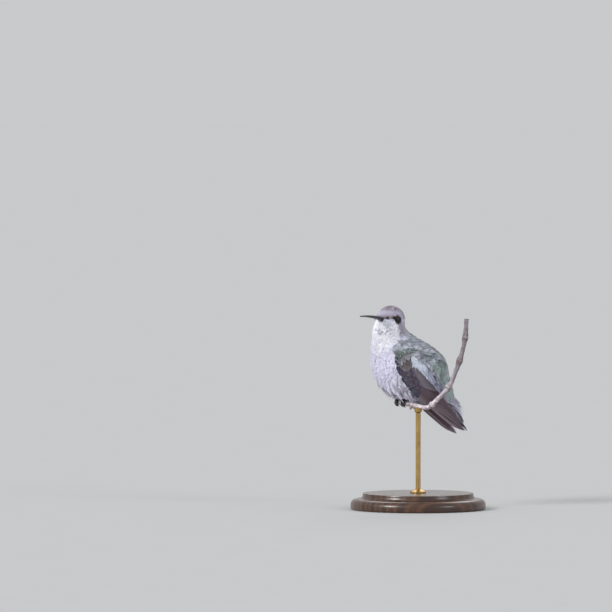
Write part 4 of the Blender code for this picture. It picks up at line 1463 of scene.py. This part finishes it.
def planted(skin, count, names_at, rng):
    """Roots of the kinds that names_at gives, each kind at its own spacing."""
    roots, normals = skin.sprinkled(count, rng)
    names = names_at(Place(roots), rng)
    roots, normals, names = only(names != "", roots, normals, names)
    place = Place(roots)
    spacing = np.array([KINDS[name].spacing for name in names])
    closeness = 0.75 + 0.25 * ease(place.from_eye, 1.8, 3.2)
    kept = thinned_out(roots, spacing * closeness)
    bill_share = dot(roots - BILL_BASE, HEAD_FORWARD)
    kept &= (place.along < SKIRT_START + 1) & ~((place.from_bill < 1.25) & (bill_share > -1.2))
    return only(kept, roots, normals, names)


def laid_tufts(skin, obstacles, chosen, roots, normals, flow, length, loose, rise):
    """Lays the chosen tufts on the skin, trying shorter ones where they would meet an obstacle."""
    sets = []
    for shorter in SHORTER_TRIES:
        if not len(chosen):
            break
        root, out = roots[chosen], normals[chosen]
        reach = (length[chosen] * shorter)[:, None]
        mid, mid_out = skin.near(root + flow[chosen] * reach / 2)
        onward = lie(Place(mid), mid_out, loose[chosen])
        onward = unit(onward + (flow[chosen] - onward) * 0.5)
        tip, tip_out = skin.near(mid + onward * reach / 2)
        top = tip + tip_out * rise[chosen, None]
        middle = mid + mid_out * rise[chosen, None] * 0.6
        blocked = obstacles.in_wing(top) | obstacles.in_twig(top) | obstacles.in_eye(top, 1.14)
        blocked |= obstacles.in_wing(middle) | obstacles.in_twig(middle)
        sets.append(only(~blocked, chosen, root, mid, tip, out, mid_out, tip_out))
        chosen = chosen[blocked]
    return [np.concatenate(part) for part in zip(*sets)]


def grow_body_tufts(skin, obstacles, rng):
    """Tufts over the whole skin apart from the wings, by kind."""
    coat = planted(skin, CANDIDATES, region_names, rng)
    accents = planted(skin, ACCENT_CANDIDATES, accent_names, rng)
    roots, normals, names = (np.concatenate(part) for part in zip(coat, accents))
    arm = np.min([[tree.find(point)[2] for point in roots] for tree in obstacles.arms], axis=0)
    blocked = obstacles.under_wing(roots) | obstacles.in_twig(roots) | obstacles.in_eye(roots, 1.3)
    roots, normals, names = only(~blocked & (arm > 0.9), roots, normals, names)
    place = Place(roots)
    loose = np.where(np.isin(names, ("belly", "wisps")), 0.13, np.where(names == "breast", 0.08, 0.04))
    flow = lie(place, normals, loose)
    flow = unit(flow + np.cross(normals, flow) * rng.normal(0, 0.07, (len(roots), 1)))
    kinds = [KINDS[name] for name in names]
    length = np.array([kind.length for kind in kinds]) * rng.uniform(0.85, 1.15, len(roots))
    length *= 0.7 + 0.3 * ease(place.from_eye, 1.8, 3.5)
    width = np.array([kind.width for kind in kinds]) * rng.uniform(0.85, 1.15, len(roots))
    depth = coat_depth(place) * np.array([kind.lift for kind in kinds])
    proud = np.where(np.isin(names, ("face", "crown", "throat")), 1.0, 1.14)
    rise = depth * rng.uniform(0.82, 1.0, len(roots)) * rng.uniform(1.0, proud)
    rise *= np.where(names == "wisps", rng.uniform(0.6, 1.2, len(roots)), 1.0)
    made = {}
    for name, kind in KINDS.items():
        chosen = np.flatnonzero(names == name)
        index, root, mid, tip, out, mid_out, tip_out = laid_tufts(
            skin, obstacles, chosen, roots, normals, flow, length, loose, rise
        )
        root = root - out * 0.15
        bow = 0.085 if name in ("face", "crown") else 0.04
        made[name] = Tufts((root, mid, tip), (out, mid_out, tip_out), rise[index], width[index], kind, bow)
    return made


def paint_for(name, tufts, rng):
    """Per-tuft colours: body, root, fringe strength, fringe, fleck strength and sheen."""
    n = tufts.count
    place = Place(tufts.feet[0])
    body, sheen = plumage(place)
    below = 1 - np.clip(place.back + place.crown + place.ear, 0, 1)
    pale = below * (1 - place.belly * 0.7)
    root = mix(mix(body * 0.5, DOWN * 0.9, below), body * 0.72, pale)
    fringe, edge, fleck = np.full(n, 0.15), body * 1.15, np.zeros(n)
    if name == "crown":
        fringe, edge = rng.uniform(0.25, 0.6, n), mix(body, BROW, 0.6)
        top = place.crown * ease(place.up, 2.4, 3.6)
        body = mix(body, FLECK, (rng.random(n) < 0.2) * rng.uniform(0.4, 1.0, n) * top)
        body = mix(body, BROW, (rng.random(n) < 0.25) * rng.uniform(0.3, 0.8, n) * top)
        fleck = np.where(rng.random(n) < 0.45, rng.uniform(0.4, 1.0, n), 0.1) * top
    elif name == "face":
        fringe = np.full(n, 0.1)
    elif name == "throat":
        fringe, edge = np.full(n, 0.3), plain(WHITE, n)
        fleck = np.where(rng.random(n) < 0.16, rng.uniform(0.3, 0.75, n), 0.0) * ease(place.along, -24, -20)
        dusky = place.head * band(place.up, -5.2, -2.2, 0.6) * ease(place.ahead, 5.2, 6.4)
        body = mix(body, DOWN, (rng.random(n) < 0.3) * rng.uniform(0.3, 0.8, n) * dusky)
    elif name == "breast":
        body = body * mix(np.ones((n, 3)), np.array((0.9, 0.9, 0.93)), (rng.random(n) < 0.2) * 1.0)
    elif name in ("belly", "wisps"):
        streak = (rng.random(n) < 0.36) * rng.uniform(0.35, 1.0, n) * ease(place.along, -9.0, -1.0)
        body = mix(body, DOWN, streak)
        edge = plain(UNDER, n)
    else:
        worn = rng.random(n) ** 2 * 0.7 * place.back
        body = mix(body, NAPE * 0.9, worn) * rng.uniform(0.66, 1.12, (n, 1))
        sheen = sheen * (1 - worn)
        fringe = rng.uniform(0.3, 0.95, n) * place.back * (1 - place.scapular_shadow)
        edge = plain(FRINGE, n)
        fleck = rng.uniform(0.3, 0.95, n) * place.back
        if name == "scapulars":
            body = mix(mix(plain(SHOULDER, n), MANTLE, 0.6), NAPE, rng.random(n) * 0.6)
            fringe, fleck = rng.uniform(0.5, 0.9, n), rng.uniform(0.3, 0.7, n)
    return body, root, fringe, edge, fleck, sheen


# The wings' feathers

# Flight feathers from the outermost primary to the innermost secondary: where each one ends.
FEATHER_ENDS = (
    *(1.0, 0.985, 0.96, 0.925, 0.885, 0.84, 0.79, 0.735, 0.68, 0.62),
    *(0.5, 0.46, 0.42, 0.385, 0.355, 0.33),
)
FEATHER_START = 0.09
PRIMARIES = 10
VANE_PITCH = 0.09
VANE_THICK = 0.07
WING_TOP = 0.22  # depth of the innermost secondary under the wing's outer face
BARB_SLANT = 2.2


def both_faces(upper, lower):
    """Values over a plate's two faces, in the order of its points."""
    return np.concatenate([upper, lower[:, ::-1]], 1)


def barb_map(along, x, rachis, full):
    """The Vane map: barbs that slant back from a feather's shaft. full is its width."""
    flat = np.stack([along - np.abs(x - rachis) * full * BARB_SLANT, x * full], -1)
    return both_faces(flat, flat).reshape(-1, 2)


def plate(top, out, thick):
    """A closed thin plate from a grid of points (rows, columns, 3) on its upper face."""
    rows, columns = top.shape[:2]
    ring = both_faces(top, top - out * thick)
    columns *= 2
    faces = grid_faces(rows, columns)
    half = columns // 2
    column = np.arange(half - 1)
    ends = []
    for row, flip in ((0, 1), (rows - 1, -1)):
        start = row * columns
        quad = np.stack([column, column + 1, columns - 2 - column, columns - 1 - column], -1) + start
        ends.append(quad[:, ::flip])
    return ring.reshape(-1, 3), [faces, *ends]


def vane_outline(t, roundness, start, bluntness=0.5):
    """A feather's width as a share of its full width. Its tip narrows from start on."""
    tip = np.clip((t - start) / (1 - start), 0, 1)
    return np.clip(0.55 + t * 5, 0, 1) * np.clip(1 - tip**roundness, 0.0, 1) ** bluntness + 0.004


def nicked(t, rng, depth):
    """Small splits in a feather's edge where its barbs have parted."""
    edge = np.zeros_like(t)
    for _ in range(rng.integers(1, 4)):
        place, size = rng.uniform(0.3, 0.97), rng.uniform(0.3, 1.0)
        off = (t - place) / 0.012
        edge += size * np.exp(-np.abs(off)) * (off > -1.5)
    return edge * depth + rng.normal(0, depth * 0.04, t.shape)


def vane_shades(t, x, rachis, body, edge, near, far, shaft, tone):
    """Colours over a vane: t along it, x across from 0 to 1, with its shaft at rachis."""
    shade = mix(body, edge, near * ease(-x, -0.15, -0.05) + far * ease(x, 0.93, 1.0))
    shade = mix(shade, shaft, np.exp(-(((x - rachis) / 0.035) ** 2)) * 0.85)
    shade = shade * (0.86 + 0.14 * ease(t, 0.0, 0.9))[..., None]
    shade = mix(shade, edge, 0.25 * ease(t, 0.97, 1.0))
    return np.clip(shade * tone, 0.003, 0.95)


def flight_edges(number, t, s, breadth, full, rng):
    """A flight feather's two edges, in millimetres across the wing from its leading edge."""
    offset = 0.5 * number * (1 - 0.5 * s) + 0.04
    if number >= PRIMARIES:
        offset = breadth * (0.42 + 0.085 * (number - PRIMARIES))
    high = mix_values(offset + full, breadth * (1.02 - 0.003 * number), ease(t, 0.25, 0.7))
    high = np.minimum(high, breadth * 1.02)
    closing = (high - offset) * (1 - vane_outline(t, 1.35, 0.42 if number > 1 else 0.74, 0.85))
    to_trailing_edge = 0.12 + 0.83 * min(number / 3, 1)
    low = offset + closing * to_trailing_edge
    high = high - closing * (1 - to_trailing_edge) - nicked(t, rng, 0.15)
    return np.minimum(low, high - 0.03), high


def flight_feather(side, number, rng):
    """One vane on the wing's surface, numbered from the outermost primary."""
    rows, columns = 84, 13
    end = FEATHER_ENDS[number]
    t = 1 - (1 - np.linspace(0, 1, rows)) ** 1.25
    s = FEATHER_START + (end - FEATHER_START) * t
    inner = number >= PRIMARIES
    full = 4.1 if inner else 3.1 + 0.16 * number
    rachis = 0.42 if inner else 0.2 + 0.018 * number
    breadth = wing_breadth(side, s)
    low, high = flight_edges(number, t, s, breadth, full, rng)
    x = np.linspace(0, 1, columns) ** 0.9
    across = (low[:, None] + (high - low)[:, None] * x) / breadth[:, None]
    depth = WING_TOP + VANE_PITCH * (len(FEATHER_ENDS) - 1 - number)
    ridge = 0.045 * np.exp(-(((x - rachis) / 0.05) ** 2))[None] * (1 - 0.6 * t[:, None])
    cup = 0.10 * ((x - rachis) ** 2)[None] * (1 - t[:, None] * 0.5)
    lift = 0.05 * (t[:, None] ** 3) * rng.uniform(0.2, 1.0)
    top, out = wing_place(side, s[:, None], across, depth - ridge + cup - lift)
    points, faces = plate(top, out, VANE_THICK)
    if SIDE_SIGN[side] < 0:
        faces = [shape[:, ::-1] for shape in faces]
    grid_t, grid_x = np.broadcast_arrays(t[:, None], x[None])
    body = DUSK * (0.92 + 0.02 * (number % 3)) if not inner else mix(DUSK, MANTLE, 0.22)
    near, far = (0.12, 0.35) if inner else (max(0.75 - 0.12 * number, 0.12), 0.75)
    tone = rng.normal(1, 0.05)
    # Painted light: the lower face is painted 1.5 times lighter than the upper one because little light
    # reaches it. Its pale shaft is the real underside's colour, also painted a little lighter.
    above, below = (
        vane_shades(grid_t, grid_x, rachis, face, DUSK_EDGE, near, far, shaft, tone)
        for face, shaft in ((body, SHAFT), (body * 1.5, DUSK_EDGE * 1.3))
    )
    length = 30 * (end - FEATHER_START) / (1 - FEATHER_START)
    barbs = barb_map(grid_t * length * 2.4, grid_x, rachis, full)
    return points, faces, both_faces(above, below).reshape(-1, 3), barbs


def make_flight_feathers(rng):
    material = vane_material()
    groups = {
        "outer_primaries": range(0, 4),
        "middle_primaries": range(4, 7),
        "inner_primaries": range(7, 10),
        "secondaries": range(10, 16),
    }
    for side in ("left", "right"):
        for name, numbers in groups.items():
            made = [flight_feather(side, number, rng) for number in numbers]
            points, faces = joined([part[:2] for part in made])
            shades = np.concatenate([part[2] for part in made])
            barbs = np.concatenate([part[3] for part in made])
            shine = np.full(len(points), 0.12)
            vanes = add_mesh(f"vanes_{side}_{name}", points, faces, shades, shine, {"Vane": barbs}, crease=40)
            finish_piece(vanes, material, "flight_feathers", f"wing_{side}_{name}")
    return material


# Rows of coverts: where they start and end along the wing, how many rows there are, where across it
# they lie, their pitch, length and width, how deep the roots lie, how far the tips stand out, and
# the strips in each.
Covert = namedtuple("Covert", "start end rows low high pitch length width depth lift strips")
COVERTS = {
    "marginal": Covert(-0.01, 0.3, 19, -0.03, 0.17, 0.7, 1.5, 1.05, 0.75, 0.12, 7),
    "primary": Covert(0.10, 0.25, 5, 0.08, 0.40, 1.0, 4.2, 1.7, 0.5, 0.04, 10),
    "greater": Covert(0.065, 0.092, 2, 0.26, 0.98, 1.25, 4.0, 2.6, 0.5, 0.04, 13),
    "median": Covert(0.032, 0.052, 2, 0.12, 0.98, 1.15, 2.9, 2.1, 0.5, 0.14, 11),
    "lesser": Covert(-0.01, 0.024, 4, 0.02, 0.98, 0.98, 1.9, 1.6, 0.5, 0.24, 10),
}
COVERT_ROWS = {"greater": (0.0, 0.16, 0.34, 0.52, 0.7, 0.86), "primary": LONG_ROWS}
FACE_LENGTH = 48.0  # about how long the wing's outer face is


def covert_tufts(side, name, rng):
    """Tufts in staggered rows over the wing's arm, each row over the base of the next."""
    row_of = COVERTS[name]
    s_all, c_all = [], []
    for i, s in enumerate(np.linspace(row_of.start, row_of.end, row_of.rows)):
        breadth = float(wing_breadth(side, s))
        count = max(2, round((row_of.high - row_of.low) * breadth / row_of.pitch))
        c = np.linspace(row_of.low, row_of.high, count) + (i % 2 - 0.5) * 0.5 * row_of.pitch / breadth
        s_all.append(np.full(count, s))
        c_all.append(c)
    s, c = np.concatenate(s_all), np.concatenate(c_all)
    s = s + rng.normal(0, 0.004, len(s))
    c = c + rng.normal(0, 0.012, len(c))
    s = np.clip(s, 0.0, 0.6)
    if side == "right":
        s, c = only((c < 0.7) | (s > 0.06), s, c)
    step = row_of.length / FACE_LENGTH * rng.uniform(0.9, 1.1, len(s))
    drift = rng.normal(0, 0.02, len(s)) + 0.02
    feet, normals = [], []
    middle_depth = row_of.depth * 0.55 + row_of.lift * -0.45
    for part, depth in ((0.0, row_of.depth), (0.5, middle_depth), (1.0, -row_of.lift)):
        place, out = wing_place(side, s + step * part, c + drift * part, depth)
        feet.append(place)
        normals.append(out)
    width = row_of.width * rng.uniform(0.9, 1.1, len(s))
    kind = Kind(0, row_of.length, row_of.width, row_of.strips, 0.42, 0.03, 0.04, 0.05, 1.0)
    rise = np.full(len(s), 0.12)
    return Tufts(tuple(feet), tuple(normals), rise, width, kind, 0.03), s


def covert_paint(name, tufts, s, rng):
    """Per-tuft colours of one kind of covert, in paint_for's order."""
    n = tufts.count
    fringe, edge = rng.uniform(0.35, 0.7, n), plain(FRINGE, n)
    fleck, sheen = rng.uniform(0.2, 0.5, n), np.full(n, 0.18)
    if name == "lesser":
        body = mix(SHOULDER, MANTLE, rng.random(n) ** 2 * 0.7) * rng.uniform(0.8, 1.1, (n, 1))
        fleck = fleck + 0.4
    elif name == "median":
        body = mix(mix(SHOULDER, COVERT_GREY, 0.6), MANTLE, rng.random(n) * 0.4)
    elif name == "greater":
        body = mix(COVERT_GREY, DUSK, rng.uniform(0.0, 0.6, n))
        sheen = sheen * 0.4
    elif name == "primary":
        body = mix(plain(DUSK, n), SLATE, rng.uniform(0.2, 0.6, n))
        sheen, fringe = sheen * 0.4, fringe * 0.6
    else:
        body = mix(plain(SLATE, n), LORE, rng.uniform(0.0, 0.6, n))
        body = mix(body, SHOULDER, (1 - ease(s, 0.0, 0.04)) * 0.8)
        sheen, fringe = sheen * 0.6, fringe * 0.55
    return body, body * 0.5, fringe, edge, fleck, sheen


def make_coverts(material, rng):
    for side in ("left", "right"):
        sets = []
        for name in COVERTS:
            tufts, s = covert_tufts(side, name, rng)
            sets.append((tufts, covert_paint(name, tufts, s, rng), COVERT_ROWS.get(name, ROWS)))
        add_coat(f"coverts_{side}", "coverts", material, sets, rng)


# The mantle's feathers over each shoulder, and the flank's white tufts over each wing's base


def shoulder_tufts(side, skin, rng):
    """Feathers rooted in the body, over the wing's top edge and down over the flank tufts' roots."""
    in_top_row, in_edge_row = np.linspace(-0.05, 1.0, 15), np.linspace(0.0, 0.11, 7)
    top_rows, edge_rows = (0.4, 1.1, 1.8, 2.5), (0.2, 0.9, 1.6, 2.3, 3.0)
    across_top = np.tile(in_top_row, len(top_rows))
    down_edge = np.tile(in_edge_row, len(edge_rows))
    aside = np.repeat((0.0, 1.0), (len(across_top), len(down_edge)))
    n = len(aside)
    s = np.concatenate([np.zeros(len(across_top)), down_edge]) + rng.uniform(0, 0.01, n)
    c = np.concatenate([across_top, np.ones(len(down_edge))]) + rng.normal(0, 0.03, n)
    away = [np.repeat(top_rows, len(in_top_row)), np.repeat(edge_rows, len(in_edge_row))]
    away = np.concatenate(away) + rng.normal(0, 0.2, n)
    # The right wing's upper corner stands further out: longer feathers cover it.
    covering = (side == "right") * ease(c, 0.6, 0.9) * (1 - ease(s, 0.05, 0.1))
    away = away + 1.6 * covering
    edge, out = wing_place(side, s, c, 0.0)
    onward = unit(wing_face(side, s + 0.06, c) - wing_face(side, s, c))
    across = unit(wing_face(side, s, 1.0) - wing_face(side, s, 0.8))
    home = unit(mix(-onward, across * (1 - 0.7 * covering)[:, None] - onward * 0.7, aside))
    root, root_out = skin.near(edge + home * away[:, None] - out * 0.8)
    reach = rng.uniform(1.0, 2.5, len(s)) - 0.3 * away + 1.6 * covering
    tip = edge + onward * reach[:, None] + out * rng.uniform(0.2, 0.42, (len(s), 1))
    tip = tip + across * (aside * (0.75 * away - 0.4))[:, None]
    corner = ease(c, 0.7, 1.0) * (1 - ease(s, 0.03, 0.09))
    tip = tip - out * (0.45 * corner * (1 - covering))[:, None]
    middle_out = unit(root_out + out)
    mid = (root + tip) / 2 + middle_out * (0.45 - 0.3 * corner)[:, None]
    keep = np.linalg.norm(tip - root, axis=1) > 2.1
    root, mid, tip, root_out, middle_out, out, c, away, aside, covering = only(
        keep, root, mid, tip, root_out, middle_out, out, c, away, aside, covering
    )
    n = len(root)
    width = rng.uniform(1.4, 2.1, n) * (1 + 0.4 * covering)
    feet, outs = (root, mid, tip), (root_out, middle_out, out)
    tufts = Tufts(feet, outs, np.full(n, 0.14), width, SHOULDER_KIND)
    body, root_shade, fringe, *rest = paint_for("back", tufts, rng)
    green = (1 - aside) * (1 - ease(c, 0.6, 0.95)) * (1 - ease(away, 1.5, 2.8))
    body = mix(body, SHOULDER * rng.uniform(0.8, 1.15, (n, 1)), green * 0.9)
    return tufts, (body, root_shade, fringe * (1 - 0.6 * green), *rest), ROWS


HOLLOW = np.array((-2.9, 8.8, 1.8))  # the hollow behind the right wing's upper corner


def hollow_tufts(skin, rng):
    """The back's feathers, over the hollow behind the right wing's upper corner."""
    down, up = np.meshgrid(np.linspace(-4.8, 0.6, 7), np.linspace(-0.4, 2.6, 5))
    n = down.size
    aim = HOLLOW + TAILWARD * (down.reshape(-1, 1) + rng.normal(0, 0.25, (n, 1)))
    root, root_out = skin.near(aim + BACKWARD * (up.reshape(-1, 1) + rng.normal(0, 0.25, (n, 1))))
    tip, tip_out = skin.near(root + TAILWARD * rng.uniform(2.8, 3.6, (n, 1)) + root_out * 0.8)
    tip = tip + tip_out * rng.uniform(0.7, 1.0, (n, 1))
    middle_out = unit(root_out + tip_out)
    mid = (root + tip) / 2 + middle_out * 0.7
    width = rng.uniform(2.0, 2.6, n)
    feet, outs = (root, mid, tip), (root_out, middle_out, tip_out)
    tufts = Tufts(feet, outs, np.full(n, 0.14), width, HOLLOW_KIND)
    return tufts, paint_for("back", tufts, rng), ROWS


FLANK_TUFTS = 380


def flank_tufts(side, skin, rng):
    """The loose white tufts from the flank that lie out over the wing's trailing edge."""
    count = FLANK_TUFTS
    s = rng.uniform(0.065, 0.46, count)
    edge, out = wing_place(side, s, 1.0, 0.0)
    across = unit(edge - wing_face(side, s, 0.8))
    spread = rng.uniform(0.0, 1.0, count) * np.interp(s, (0.1, 0.3), (2.3, 3.4))
    root, root_out = skin.near(edge + across * spread[:, None] - out * 1.0)
    far = s + rng.uniform(0.04, 0.085, count)
    overlap = np.interp(far, (0.11, 0.17, 0.21, 0.27, 0.37, 0.46), (0.26, 0.38, 0.2, 0.1, 0.06, 0.0))
    c_end = 1.02 - overlap * rng.uniform(0.3, 1.15, count) + 0.03 * spread
    over = rng.uniform(0.15, 0.55, count) + 0.1 * spread
    tip, tip_out = wing_place(side, far, np.minimum(c_end, 1.0), -over)
    tip = tip + across * np.maximum(c_end - 1.0, 0)[:, None] * 6
    out_mid = unit(root_out + tip_out)
    mid = (root + tip) / 2 + out_mid * 0.45
    keep = np.linalg.norm(tip - root, axis=1) < 8.0
    root, mid, tip, root_out, out_mid, tip_out, s, spread = only(
        keep, root, mid, tip, root_out, out_mid, tip_out, s, spread
    )
    n = len(root)
    width = rng.uniform(0.9, 1.5, n)
    feet, outs = (root, mid, tip), (root_out, out_mid, tip_out)
    tufts = Tufts(feet, outs, np.full(n, 0.3), width, FLANK_KIND, 0.02)
    white = 1 - ease(s + rng.normal(0, 0.02, n), 0.24, 0.34)
    white = white * (1 - 0.6 * ease(spread, 2.0, 3.2))
    streak = (rng.random(n) < 0.35) * rng.uniform(0.3, 0.9, n) * (1 - white * 0.75)
    body = mix(mix(plain(FLANK, n), FLANK_WHITE, white), DOWN * 0.7, streak)
    body = body * rng.uniform(0.88, 1.05, (n, 1))
    paint = (body, DOWN * 0.5 * np.ones((n, 3)), np.full(n, 0.2), body * 1.08, np.zeros(n), np.zeros(n))
    return tufts, paint, FLANK_ROWS


# The tail and its coverts

RUMP_SECTIONS = (
    (11.0, 2.3, 10.4, 10.4),
    (14.7, 2.7, 7.9, 8.6),
    (18.4, 3.6, 4.9, 6.3),
    (22.1, 4.1, 2.75, 4.4),
    (25.8, 3.7, 1.75, 4.1),
    (29.5, 3.15, 1.1, 4.1),
)


def rump_surface(along, around):
    """A point on the tail's root: around is 0 on the back, and the way out of it."""
    low, high = RUMP_SECTIONS[0][0], RUMP_SECTIONS[-1][0]
    section = curve(RUMP_SECTIONS, np.clip((along - low) / (high - low), 0, 1))
    above, tall, wide = section[..., 1], section[..., 2], section[..., 3]
    up, aside = np.cos(around), np.sin(around)
    point = (
        TAILWARD * along[..., None]
        + BACKWARD * (above + tall * up)[..., None]
        + LEFTWARD * (wide * aside)[..., None]
    )
    out = unit(BACKWARD * (up / tall)[..., None] + LEFTWARD * (aside / wide)[..., None])
    return point, out


SKIRT_ROWS = np.arange(14.6, 26.0, 0.62)
SKIRT_SPACING = 0.95


def skirt_places(rng):
    """Places round the tail's root: along, around, and how much at the loose sides and in the dark band."""
    along, around = [], []
    places, _, tall, wide = np.array(RUMP_SECTIONS).T
    for d in SKIRT_ROWS:
        girth = 2 * math.pi * np.interp(d, places, (tall + wide) / 2)
        count = int(girth / SKIRT_SPACING)
        turn = full_turn(count) + rng.uniform(0, 1)
        around.append(turn + rng.normal(0, 0.05, count))
        along.append(np.full(count, d) + rng.normal(0, 0.15, count))
    along, around = np.concatenate(along), np.concatenate(around)
    turned = np.abs((around + math.pi) % (2 * math.pi) - math.pi)
    beside = band(turned, 0.35, 1.5, 0.12)
    dark = band(turned, 1.56, 2.1, 0.1) * ease(along, 15.5, 17.5)
    kept = (along < 22.0) | (dark > 0.5) | ((beside > 0.5) & (along < 23.5))
    return only(kept, along, around, beside, dark)


def skirt_tufts(obstacles, rng):
    """The upper and under tail coverts, longest at the tail's root, with loose pale ones at the sides."""
    along, around, beside, dark = skirt_places(rng)
    loose = beside * band(along, 17.8, 23.0, 0.9) * rng.random(len(along)) ** 1.5 * 2.4
    length = np.interp(along, (15, 22), (3.6, 6.2)) * rng.uniform(0.85, 1.12, len(along))
    feet, outs = [], []
    deep = np.interp(along, (15, 22), (1.1, 0.5))
    for part, sink in ((0.0, 1.0), (0.5, 0.4), (1.0, 0.0)):
        point, out = rump_surface(along + length * part, around)
        feet.append(point + out * (loose * part**1.5 - deep * sink)[:, None])
        outs.append(out)
    clear = ~obstacles.in_wing(feet[2]) & ~obstacles.in_wing(feet[1]) & ~obstacles.in_wing(feet[0])
    clear &= ~obstacles.under_wing(feet[0])
    feet, outs = only(clear, *feet), only(clear, *outs)
    along, around, dark = only(clear, along, around, dark)
    n = len(along)
    least = np.interp(along, (16.0, 19.0), (0.0, 0.8))
    top = ease(np.cos(around), least - 0.1, least + 0.12)
    tufts = Tufts(feet, outs, np.full(n, 0.12), rng.uniform(1.4, 2.0, n), SKIRT_KIND, 0.03)
    under = mix(plain(UNDER_TAIL, n), DOWN, (rng.random(n) < 0.35) * 0.7)
    green = mix(plain(GREEN, n), MANTLE, rng.random(n) * 0.5)
    body = mix(mix(under, green, top), SLATE * 0.5, dark * rng.uniform(0.7, 1.0, n))
    root = mix(body, DOWN * 0.6, 0.7)
    fringe = rng.uniform(0.3, 0.7, n) * (1 - 0.8 * dark)
    edge = mix(plain(WHITE, n), FRINGE, top)
    paint = (body, root, fringe, edge, rng.uniform(0, 0.4, n), top * 0.45)
    return tufts, paint, LONG_ROWS


TAIL_PITCH = 0.24
TAIL_ROOT = 20.5
TAIL_VANE_WIDTH = 3.5
TAIL_GREEN_TIP, TAIL_BLACK = linear(60, 84, 70), linear(26, 25, 30)


def tail_shades(number, t, x, rachis):
    """Colours and sheen over a tail feather: green in the middle pair, and dark with a white tip."""
    if number == 0:
        shade = mix(GREEN, TAIL_GREEN_TIP, ease(t, 0.8, 1.0))
        shine = 0.5 * np.ones_like(t)
    else:
        base = mix(mix(MANTLE, DUSK, 0.3), GREEN, 0.4 if number == 1 else 0.1)
        shade = mix(np.broadcast_to(base, (*t.shape, 3)), TAIL_BLACK, ease(t, 0.5, 0.64))
        white_from = 0.97 if number == 1 else 0.875 - 0.02 * number
        shade = mix(shade, WHITE, ease(t, white_from, white_from + 0.025))
        shine = 0.2 * (1 - t)
    on_shaft = np.exp(-(((x - rachis) / 0.03) ** 2)) * (1 - ease(t, 0.9, 1))
    return mix(shade, SHAFT, 0.7 * on_shaft), shine


def tail_vane(number, sign, rng):
    """One tail feather: pair 0 on top, sign 1 on the left."""
    rows, columns = 60, 15
    t = 1 - (1 - np.linspace(0, 1, rows)) ** 1.3
    end = TAIL_END - TAIL_PAIR_SHORTER[number] - 0.05
    along = TAIL_ROOT + (end - TAIL_ROOT) * t
    full = TAIL_VANE_WIDTH
    fanned = np.minimum(np.clip((along - TAIL_START) / (TAIL_END - TAIL_START), 0, 1) * 1.6, 1)
    spread = 0.72 + 0.28 * np.sin(fanned * math.pi / 2)
    outer = TAIL_PAIR_HALF_WIDTHS[number] * spread
    width = full * vane_outline(t, 2.6, 0.74)
    closing = (full - width) * 0.5 * ease(t, 0.5, 0.8)
    high = outer - closing - nicked(t, rng, 0.12)
    low = outer - full + closing
    x = np.linspace(0, 1, columns)
    aside = low[:, None] + (high - low)[:, None] * x
    rachis = 0.66 - 0.04 * number if number else 0.5
    top = TAIL_HEIGHT + TAIL_PITCH * (2 - number) + 0.06 * (sign > 0)
    height = top - TAIL_CAMBER * (aside / TAIL_PAIR_HALF_WIDTHS[-1]) ** 2
    height = height + 0.05 * np.exp(-(((x - rachis) / 0.05) ** 2)) - 0.16 * (x - rachis) ** 2
    place = (
        TAILWARD * along[:, None, None] + BACKWARD * height[..., None] + LEFTWARD * (sign * aside)[..., None]
    )
    points, faces = plate(place, np.broadcast_to(BACKWARD, place.shape), VANE_THICK)
    if sign > 0:
        faces = [shape[:, ::-1] for shape in faces]
    grid_t, grid_x = np.broadcast_arrays(t[:, None], x[None])
    shade, shine = tail_shades(number, grid_t, grid_x, rachis)
    barbs = barb_map(grid_t * 34, grid_x, rachis, full)
    return points, faces, both_faces(shade, shade).reshape(-1, 3), barbs, both_faces(shine, shine).ravel()


def make_tail(material, rng):
    for number in range(len(TAIL_PAIR_HALF_WIDTHS)):
        made = [tail_vane(number, sign, rng) for sign in (1, -1)]
        points, faces = joined([part[:2] for part in made])
        shades, barbs, shine = (np.concatenate([part[i] for part in made]) for i in (2, 3, 4))
        maps = {"Vane": barbs}
        vanes = add_mesh(f"tail_vanes_{number + 1}", points, faces, shades, shine, maps, crease=40)
        finish_piece(vanes, material, "tail_feathers", f"tail_pair_{number + 1}")


COAT_SLOTS = {"face": "crown_feathers", "crown": "crown_feathers", "throat": "throat_feathers"}


def main():
    studio()
    stand()
    make_twig()
    make_feet()
    make_bill()
    make_eyes()
    skin = Skin(*make_skin())
    obstacles = Obstacles()
    coat = coat_material("body_feathers")
    for name, tufts in grow_body_tufts(skin, obstacles, RNG).items():
        slot = COAT_SLOTS.get(name, "body_feathers")
        add_coat(f"coat_{name}", slot, coat, [(tufts, paint_for(name, tufts, RNG), ROWS)], RNG)
    shoulders = [shoulder_tufts(side, skin, RNG) for side in ("left", "right")]
    shoulders.append(hollow_tufts(skin, np.random.default_rng(11)))
    add_coat("coat_shoulders", "body_feathers", coat, shoulders, RNG)
    vanes = make_flight_feathers(RNG)
    make_coverts(coat, RNG)
    flanks = [flank_tufts(side, skin, RNG) for side in ("left", "right")]
    add_coat("coat_flank", "body_feathers", coat, flanks, RNG)
    add_coat("coat_tail_base", "tail_feathers", coat, [skirt_tufts(obstacles, RNG)], RNG)
    make_tail(vanes, RNG)


main()
